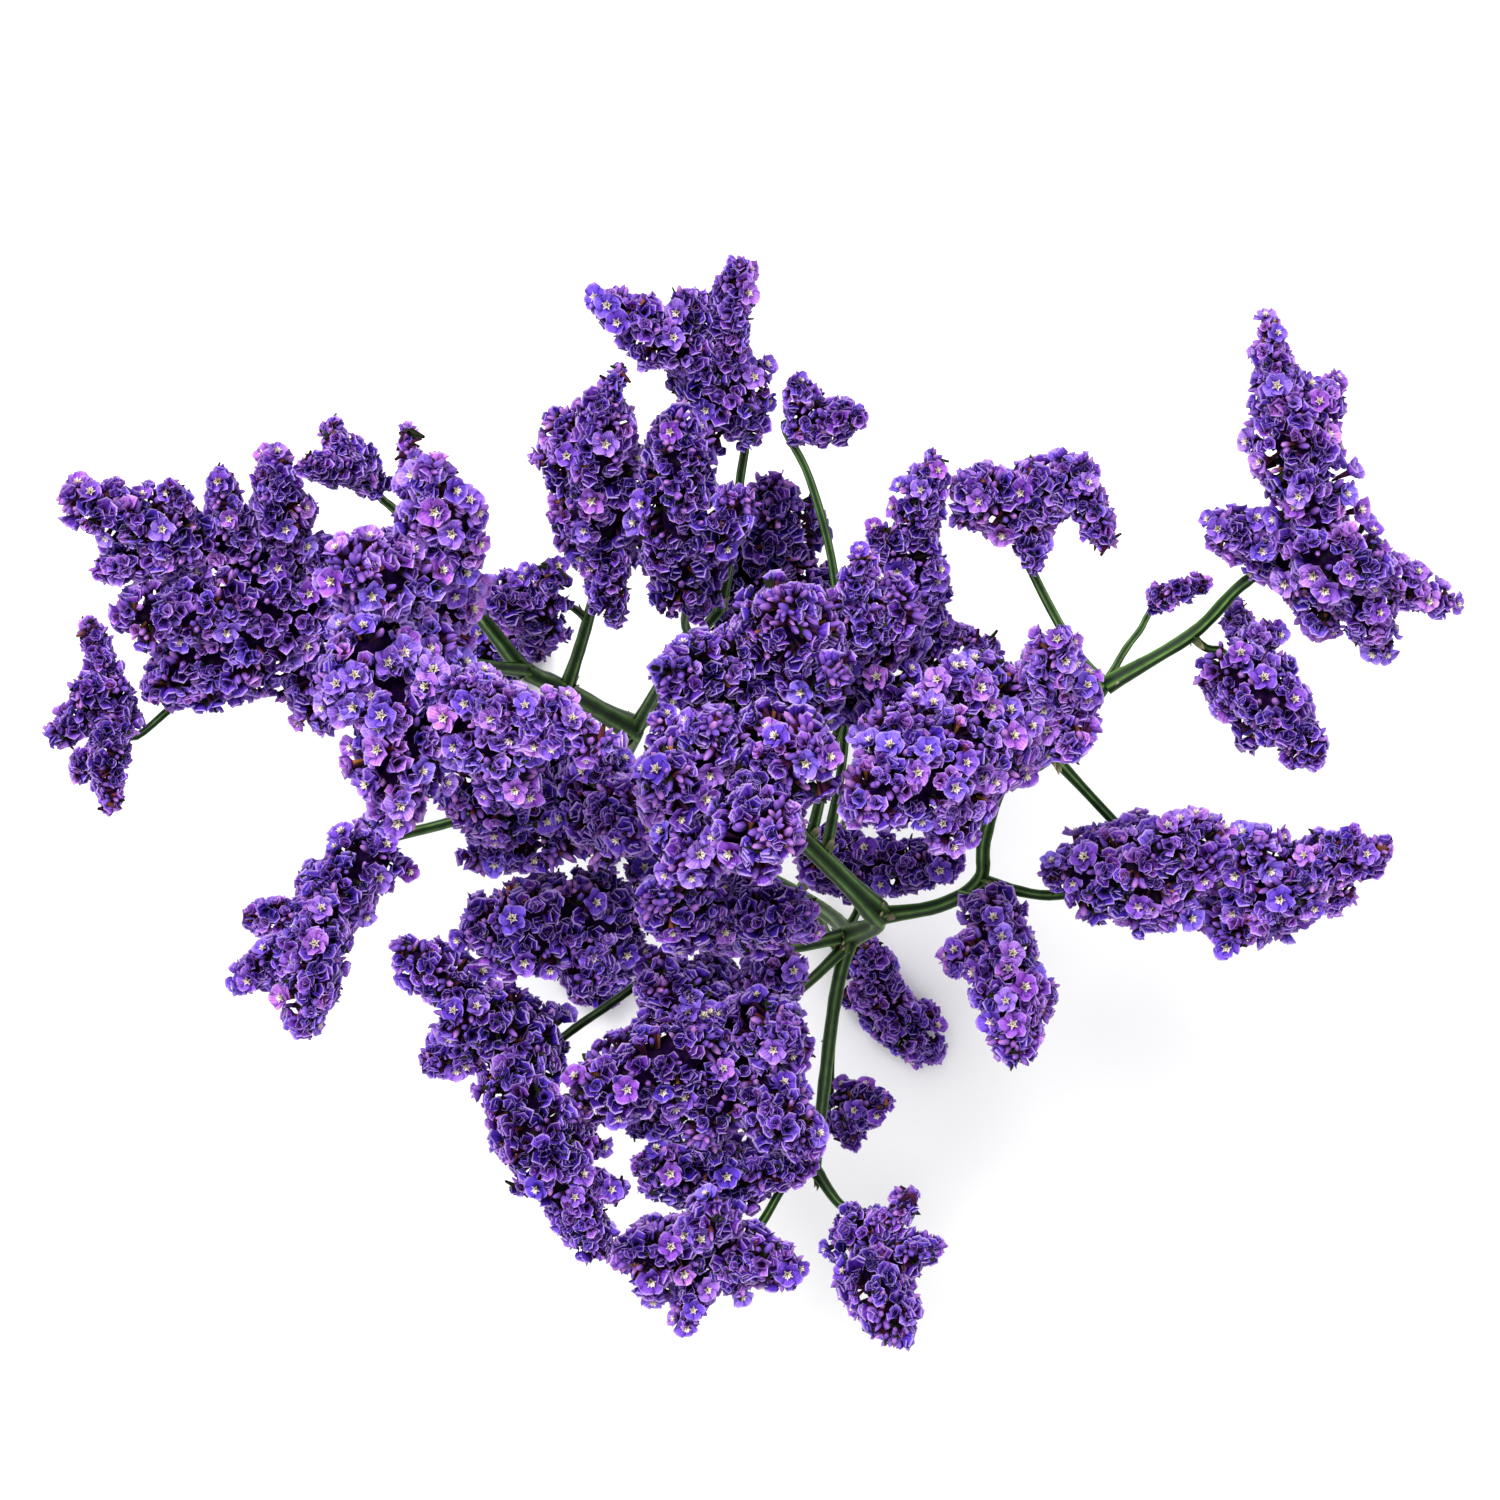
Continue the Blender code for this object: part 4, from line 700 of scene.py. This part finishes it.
def kept_elements(elements, spike, kin, rivals, stems):
    """Draws in what would meet another spray, and leaves out what is hidden or has no room."""
    heads = np.array([head for _, head, *_ in elements])
    ways = np.array([aim for _, _, aim, *_ in elements])
    drawn = np.full(len(heads), np.nan)
    near = RIVAL_REACH * spike.radius
    close = [rival for rival in rivals if rival.depth(spike.axis).min() < near]
    for draw in DRAWN_IN:
        trial = heads - draw * ways
        own = spike.depth(trial)
        clear = np.ones(len(heads), bool)
        for rival in close:
            clear &= rival.depth(trial) > np.minimum(own, RIVAL_DEPTH)
        drawn = np.where(np.isnan(drawn) & clear, draw, drawn)
    keep = ~np.isnan(drawn)
    heads = heads - np.nan_to_num(drawn)[:, None] * ways
    keep &= heads[:, 2] > FLOOR_GAP
    for other in kin:
        keep &= other.depth(heads) > -HIDDEN
    apart = np.linalg.norm(heads[:, None] - stems[:, :3], axis=2) - stems[:, 3]
    keep &= apart.min(axis=1) > STEM_ROOM
    is_open = np.array([kind == "open" for kind, *_ in elements])
    places = np.array([place for *_, place in elements])
    if (is_open & keep).any():
        room = np.linalg.norm(places[:, None] - places[is_open & keep], axis=2).min(axis=1)
        keep &= is_open | (room > OPEN_ROOM * spike.small)
    rows = zip(elements, heads, keep)
    return [(kind, head, *rest) for (kind, _, *rest, _), head, kept in rows if kept]


def core_shape(spike):
    """The core of a spike, seen between its florets, closed to a point past its last ring; its
    near-black colour is painted shade.
    """
    shape = Shape()
    steps = np.append(np.linspace(0, 1, CORE_RINGS), 1)
    turns = np.arange(CORE_SIDES) * 2 * np.pi / CORE_SIDES
    rows = []
    for along in steps:
        point, tangent, side, up = spike.place(along)
        spokes = np.cos(turns)[:, None] * side - np.sin(turns)[:, None] * up
        rows.append(point + spike.core(along) * spokes)
    rows[-1] = np.tile(spike.axis[-1] + tangent * spike.core(1.0), (CORE_SIDES, 1))
    looks = np.stack(np.meshgrid(steps, np.linspace(0, 1, CORE_SIDES), indexing="ij"), -1)
    shape.grid(np.array(rows), looks, CORE, closed=True)
    return shape.done()


def dress_spray(spray, spikes, stems, shapes, materials):
    own = [spike for spike in spikes if spike.spray == spray]
    rivals = [spike for spike in spikes if spike.spray != spray]
    rng = random.Random("spread " + spray)
    gathered = Gathered()
    for spike in own:
        gathered.put_once(core_shape(spike), 0.5, 0.5)
        kin = [other for other in own if other is not spike]
        elements = kept_elements(spike_elements(spike), spike, kin, rivals, stems)
        copies = {}
        for kind, head, aim, size, tone, other in elements:
            variant = rng.randrange(len(shapes[kind]))
            spin = rng.uniform(0, NEAR_TURN)
            place = head - aim * size * HEAD_HEIGHT[kind]
            row = (place, aim, spin, size, tone, other)
            copies.setdefault((kind, variant), []).append(row)
            if other < BRACT_SHARE and kind != "open":
                lean = unit(aim + BRACT_LEAN * np.array([math.cos(spin), math.sin(spin), 0.2]))
                place = place + BRACT_OUT * size * (lean - BRACT_BACK * aim)
                copies.setdefault(("bract", 0), []).append((place, lean, spin, size, tone, other))
        for (kind, variant), rows in copies.items():
            columns = (np.array(column) for column in zip(*rows))
            places, aims, spins, sizes, tones, others = columns
            frames = frames_along(aims, spins)
            gathered.put(shapes[kind][variant], places, frames, sizes, tones, others)
    return add_object(spray + "_florets", gathered.mesh(spray, materials))


def smooth_path(points, steps):
    """A curve through the points, with so many pieces between each two."""
    ends = [2 * points[0] - points[1]] + points + [2 * points[-1] - points[-2]]
    path = []
    for a, b, c, d in zip(ends, ends[1:], ends[2:], ends[3:]):
        for step in range(steps):
            t = step / steps
            path.append(0.5 * (2 * b + (c - a) * t + (2 * a - 5 * b + 4 * c - d) * t**2
                               + (3 * b - a - 3 * c + d) * t**3))
    return path + [points[-1]]


def branch_paths(first_spikes):
    """The path of each branch with the radius at each point, each started on one before it."""
    paths = {}
    for name, (points, start_radius, end_radius) in BRANCHES.items():
        route = [seen(point) for point in points]
        if paths:
            route[0] = nearest(np.concatenate([path[:, :3] for path in paths.values()]), route[0])
        spray = LIMB_ENDS.get(name, name.replace("to_", "spray_"))
        if spray in first_spikes:
            base, tangent = first_spikes[spray].place(0.0)[:2]
            route += [base - tangent * (SEAT_GAP + SEAT_RUN), base + tangent * SEAT_IN]
        path = np.array(smooth_path(route, PATH_STEPS))
        radii = np.linspace(start_radius, end_radius, len(path))
        paths[name] = np.column_stack([path, radii])
    return paths


def branch_shape(path, seed):
    """A ridged, grooved stem swept along its path, a little knobbly where it forks."""
    rng = random.Random(seed)
    tangents = units(np.gradient(path[:, :3], axis=0))
    normal = unit(np.cross(tangents[0], [0.3, 0.2, 1.0]))
    turns = np.arange(RING_POINTS) * 2 * np.pi / RING_POINTS
    ridge = np.cos(RIDGES * turns)
    ridged = 1 + RIDGE_DEPTH * (np.sign(ridge) * np.abs(ridge) ** RIDGE_ROUND)
    rows, looks = [], []
    for index, (row, tangent) in enumerate(zip(path, tangents)):
        normal = unit(normal - tangent * normal.dot(tangent))
        other = np.cross(tangent, normal)
        along = index / (len(path) - 1)
        knob = 1 + KNOB * math.exp(-((along * len(path) / KNOB_RINGS) ** 2))
        reach = row[3] * (knob + rng.uniform(-SWELL, SWELL)) * ridged
        spokes = np.cos(turns)[:, None] * normal + np.sin(turns)[:, None] * other
        rows.append(row[:3] + reach[:, None] * spokes)
        looks.append(np.stack([0.5 + 0.5 * ridge, np.full(RING_POINTS, along)], -1))
    first, last = (np.tile(ring.mean(axis=0), (RING_POINTS, 1)) for ring in (rows[0], rows[-1]))
    rows = [first] + rows + [last]
    looks = [looks[0]] + looks + [looks[-1]]
    shape = Shape()
    shape.grid(np.array(rows), np.array(looks), 0, closed=True)
    return shape.done()


def stem_piece(paths, materials):
    """The ridged branches, with small scales at the forks."""
    gathered = Gathered()
    scale = bract_scale()
    scale.slots[:] = 1
    for name, path in paths.items():
        tone = clamped((path[:, 2].mean() - PALE_HEIGHT) / (DARK_HEIGHT - PALE_HEIGHT))
        rng = random.Random("stem " + name)
        gathered.put_once(branch_shape(path, name), tone, rng.random())
        if name == "main":
            continue
        along = unit(path[2, :3] - path[0, :3])
        for _ in range(FORK_SCALES):
            around = rng.uniform(0, NEAR_TURN)
            out = unit(np.cross(along, [math.cos(around), math.sin(around), 0.4]))
            aim = unit(along + 0.35 * out)
            place = path[0, :3] + out * path[0, 3] * 0.9 + along * rng.uniform(0.0, 1.5)
            side = unit(out - aim * out.dot(aim))
            frames = np.stack([np.cross(side, aim), side, aim], axis=1)[None]
            size, shade, other = rng.uniform(*SCALE_SIZE), rng.random(), rng.random()
            gathered.put(scale, place[None], frames, [size], [shade], [other])
    return add_object("stem_branches", gathered.mesh("stem_branches", materials))


class Look:
    """A material's node tree, with short calls to add to it."""

    def __init__(self, name, roughness, gloss=0.3):
        self.material = bpy.data.materials.new(name)
        self.material.use_nodes = True
        self.tree = self.material.node_tree
        self.shader = self.tree.nodes["Principled BSDF"]
        self.link(roughness, self.shader.inputs["Roughness"])
        self.link(gloss, self.shader.inputs["Specular IOR Level"])

    def node(self, kind, inputs=(), **settings):
        """The outputs of a new node, given its inputs and settings."""
        made = self.tree.nodes.new(kind)
        for key, value in settings.items():
            setattr(made, key, value)
        for socket, value in inputs:
            self.link(value, made.inputs[socket])
        return made.outputs

    def link(self, output, socket):
        if isinstance(output, (int, float, tuple)):
            socket.default_value = output
        else:
            self.tree.links.new(output, socket)

    def look(self):
        """The tone, along, across and other values of the mesh."""
        attribute = self.node("ShaderNodeAttribute", attribute_name="look")
        split = self.node("ShaderNodeSeparateColor", [("Color", attribute["Color"])])
        return (*split, attribute["Alpha"])

    def math(self, operation, *values):
        return self.node("ShaderNodeMath", enumerate(values), operation=operation)[0]

    def ramp(self, factor, *stops):
        made = self.tree.nodes.new("ShaderNodeValToRGB")
        elements = made.color_ramp.elements
        while len(elements) < len(stops):
            elements.new(1.0)
        for element, (position, colour) in zip(elements, stops):
            element.position = position
            element.color = (*colour, 1.0)
        self.link(factor, made.inputs["Fac"])
        return made.outputs["Color"]

    def mix(self, factor, first, second, blend="MIX"):
        first, second = ((*c, 1.0) if isinstance(c, tuple) else c for c in (first, second))
        inputs = [(0, factor), (6, first), (7, second)]
        return self.node("ShaderNodeMix", inputs, data_type="RGBA", blend_type=blend)[2]

    def times(self, first, second):
        return self.mix(1.0, first, second, "MULTIPLY")

    def noise(self, scale, detail=2.0):
        place = self.node("ShaderNodeTexCoord")["Object"]
        inputs = [("Scale", scale), ("Detail", detail), ("Vector", place)]
        return self.node("ShaderNodeTexNoise", inputs)["Fac"]

    def bump(self, height, strength, distance):
        inputs = [("Strength", strength), ("Distance", distance), ("Height", height)]
        self.link(self.node("ShaderNodeBump", inputs)["Normal"], self.shader.inputs["Normal"])

    def colour(self, colour):
        self.link(colour, self.shader.inputs["Base Color"])
        return self.material


def petal_look(name, *, dark, mid, light, rim, rim_share, veins, throat, throat_shade_ends):
    """Papery violet: tones vary from floret to floret, with fine veins, painted shade in the
    throat and along each petal's sides, and a paler rim that is partly painted highlight.
    """
    look = Look(name, 0.65, gloss=0.06)
    tone, along, across, other = look.look()
    base = look.ramp(tone, (0.0, dark), (0.5, mid), (1.0, light))
    base = look.times(base, look.ramp(other, (0.0, (0.66, 0.84, 1.1)), (0.5, WHITE),
                                      (1.0, (1.4, 0.95, 0.95))))
    waves = look.math("SINE", look.math("MULTIPLY", across, veins * 2 * math.pi))
    crests = look.math("MULTIPLY_ADD", waves, 0.5, 0.5)
    vein_share = look.math("MULTIPLY", look.math("POWER", crests, 3.0), 0.45)
    base = look.mix(vein_share, base, dark)
    # Painted shade: each petal darkens toward the throat
    inner = look.ramp(along, (0.0, throat), (throat_shade_ends[0], throat), (throat_shade_ends[1], WHITE))
    base = look.times(base, inner)
    # Painted shade along each petal's sides, where the petals meet
    side = (0.3, 0.2, 0.45)
    base = look.times(base, look.ramp(across, (0.0, side), (0.2, WHITE), (0.8, WHITE), (1.0, side)))
    # The paler rim is partly painted highlight
    edge = look.ramp(along, (0.0, BLACK), (0.78, BLACK), (1.0, WHITE))
    base = look.mix(look.math("MULTIPLY", edge, rim_share), base, rim)
    mottle = look.ramp(look.noise(900.0), (0.3, (0.72, 0.72, 0.76)), (0.7, (1.12, 1.1, 1.1)))
    base = look.times(base, mottle)
    look.bump(crests, 0.25, 0.00008)
    return look.colour(base)


def bud_look():
    """Violet below, pinker toward the tip."""
    look = Look("bud", 0.55, gloss=0.12)
    tone, along, across, other = look.look()
    low = look.ramp(tone, (0.0, (0.03, 0.012, 0.16)), (1.0, (0.14, 0.06, 0.42)))
    high = look.ramp(other, (0.0, (0.16, 0.08, 0.48)), (0.6, (0.3, 0.12, 0.5)),
                     (1.0, (0.48, 0.2, 0.55)))
    share = look.ramp(along, (0.2, BLACK), (0.85, WHITE))
    base = look.mix(share, low, high)
    waves = look.math("SINE", look.math("MULTIPLY", across, PETALS * 2 * math.pi))
    look.bump(waves, 0.3, 0.0001)
    return look.colour(base)


def bract_look():
    """Dark wine red sheaths, a few brown or green."""
    look = Look("bract", 0.7, gloss=0.06)
    _, along, _, other = look.look()
    base = look.ramp(other, (0.0, (0.012, 0.02, 0.006)), (0.2, (0.02, 0.018, 0.01)),
                     (0.3, (0.022, 0.005, 0.02)), (0.8, (0.045, 0.008, 0.03)),
                     (0.93, (0.13, 0.03, 0.03)), (1.0, (0.3, 0.12, 0.03)))
    base = look.times(base, look.ramp(along, (0.4, (0.8,) * 3), (1.0, (1.9, 1.7, 2.0))))
    look.bump(look.noise(1500.0), 0.3, 0.0001)
    return look.colour(base)


def cream_look():
    look = Look("cream", 0.6)
    along = look.look()[1]
    base = look.ramp(along, (0.0, (0.2, 0.1, 0.4)), (0.5, (0.62, 0.52, 0.6)),
                     (1.0, (0.84, 0.78, 0.6)))
    speckle = look.ramp(look.noise(2500.0), (0.3, (0.8, 0.75, 0.7)), (0.7, WHITE))
    return look.colour(look.times(base, speckle))


def core_look():
    look = Look("core", 0.9, gloss=0.02)
    # Near black with a little violet and green: painted shade of the deep gaps between florets
    shade = look.ramp(look.noise(700.0), (0.35, (0.005, 0.001, 0.02)),
                      (0.55, (0.016, 0.003, 0.035)), (0.75, (0.02, 0.022, 0.01)))
    look.bump(look.noise(1200.0), 0.6, 0.0004)
    return look.colour(shade)


def stem_look():
    """Dark green with lighter ridges, partly painted highlight, and near-black grooves, painted
    shade; paler on branches that lie low.
    """
    look = Look("stem", 0.55, gloss=0.18)
    tone, ridge, _, _ = look.look()
    # Across the ring: near-black grooves are painted shade, lighter ridges partly painted highlight
    near = look.ramp(ridge, (0.15, (0.002, 0.009, 0.002)), (0.62, (0.014, 0.06, 0.01)),
                     (1.0, (0.12, 0.25, 0.05)))
    far = look.ramp(ridge, (0.15, (0.012, 0.035, 0.01)), (0.6, (0.04, 0.085, 0.03)),
                    (1.0, (0.16, 0.25, 0.11)))
    base = look.mix(tone, far, near)
    mottle = look.ramp(look.noise(350.0, 4.0), (0.3, (0.6, 0.62, 0.5)), (0.7, (1.3, 1.25, 1.1)))
    base = look.times(base, mottle)
    look.bump(look.noise(1800.0), 0.25, 0.0002)
    return look.colour(base)


def scale_look():
    look = Look("stem_scale", 0.7)
    along = look.look()[1]
    base = look.ramp(along, (0.0, (0.03, 0.05, 0.012)), (0.6, (0.14, 0.15, 0.06)),
                     (1.0, (0.42, 0.36, 0.25)))
    mottle = look.ramp(look.noise(900.0), (0.3, (0.7,) * 3), (0.7, (1.1,) * 3))
    return look.colour(look.times(base, mottle))


def floor_look():
    look = Look("floor", 0.9, gloss=0.1)
    shade = look.ramp(look.noise(3.0), (0.3, (0.93, 0.93, 0.935)), (0.7, (0.95,) * 3))
    return look.colour(shade)


def studio():
    """A pale floor, soft light from all round, and two broad lights, the stronger upper left."""
    bpy.ops.mesh.primitive_plane_add(size=FLOOR_SIDE, location=(0, 0, 0))
    floor = bpy.context.object
    floor.name = "floor"
    floor.data.materials.append(floor_look())
    floor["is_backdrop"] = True
    world = bpy.data.worlds.new("studio")
    world.use_nodes = True
    sky = world.node_tree.nodes["Background"].inputs
    sky["Color"].default_value = (*WHITE, 1.0)
    sky["Strength"].default_value = SKY_STRENGTH
    bpy.context.scene.world = world
    for name, (place, size, power) in LIGHTS.items():
        data = bpy.data.lights.new(name, "AREA")
        data.size, data.energy = size, power
        light = add_object(name, data)
        light.location = place
        light.rotation_euler = (-Vector(place)).to_track_quat("-Z", "Y").to_euler()
    bpy.context.scene.view_settings.view_transform = "Standard"


def photo_camera():
    """Straight above the middle of the tables' plan."""
    data = bpy.data.cameras.new("photo")
    data.lens, data.sensor_width = LENS, SENSOR
    camera = add_object("photo", data)
    camera.location = (-CENTRE[0] * MM, -CENTRE[1] * MM, EYE_HEIGHT * MM)
    bpy.context.scene.camera = camera


def main():
    spikes = plan_spikes()
    paths = branch_paths({spike.spray: spike for spike in spikes if spike.first})
    stems = np.concatenate(list(paths.values()))
    # Several forms of each, so that neighbours differ
    shapes = {
        "open": [open_floret(seed) for seed in range(8)],
        "half": [half_floret(seed, 0.6 + 0.12 * (seed % 4)) for seed in range(10)],
        "plain": [plain_floret(seed, 0.95) for seed in range(3)],
        "bud": [bud(seed, 0.85 + 0.1 * (seed % 4)) for seed in range(4)],
        "bract": [bract_scale()],
    }
    # In the order of the slots OPEN_PETAL to CORE
    materials = [
        # throat: colour of the painted shade in the throat; rim: pale rim, partly painted highlight
        petal_look("open_petal", dark=(0.12, 0.04, 0.46), mid=(0.29, 0.115, 0.72),
                   light=(0.5, 0.28, 0.9), rim=(0.66, 0.46, 0.95), rim_share=0.6, veins=6,
                   throat=(0.4, 0.26, 0.55), throat_shade_ends=(0.1, 0.55)),
        petal_look("half_petal", dark=(0.045, 0.011, 0.26), mid=(0.21, 0.07, 0.62),
                   light=(0.52, 0.26, 0.88), rim=(0.74, 0.53, 0.97), rim_share=0.8, veins=4,
                   throat=(0.13, 0.06, 0.24), throat_shade_ends=(0.14, 0.6)),
        bud_look(), bract_look(), cream_look(), core_look(),
    ]
    for spray in SPRAYS:
        piece = dress_spray(spray, spikes, stems, shapes, materials)
        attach(piece, "root")
        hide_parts(spray)
    stem = stem_piece(paths, [stem_look(), scale_look()])
    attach(stem, "root")
    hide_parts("stem")
    studio()
    photo_camera()


main()
visual_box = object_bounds()


def plain(value):
    """Nested tuples and vectors as plain lists."""
    return float(value) if np.isscalar(value) else [plain(part) for part in value]


plain(cad_box)
plain(visual_box)
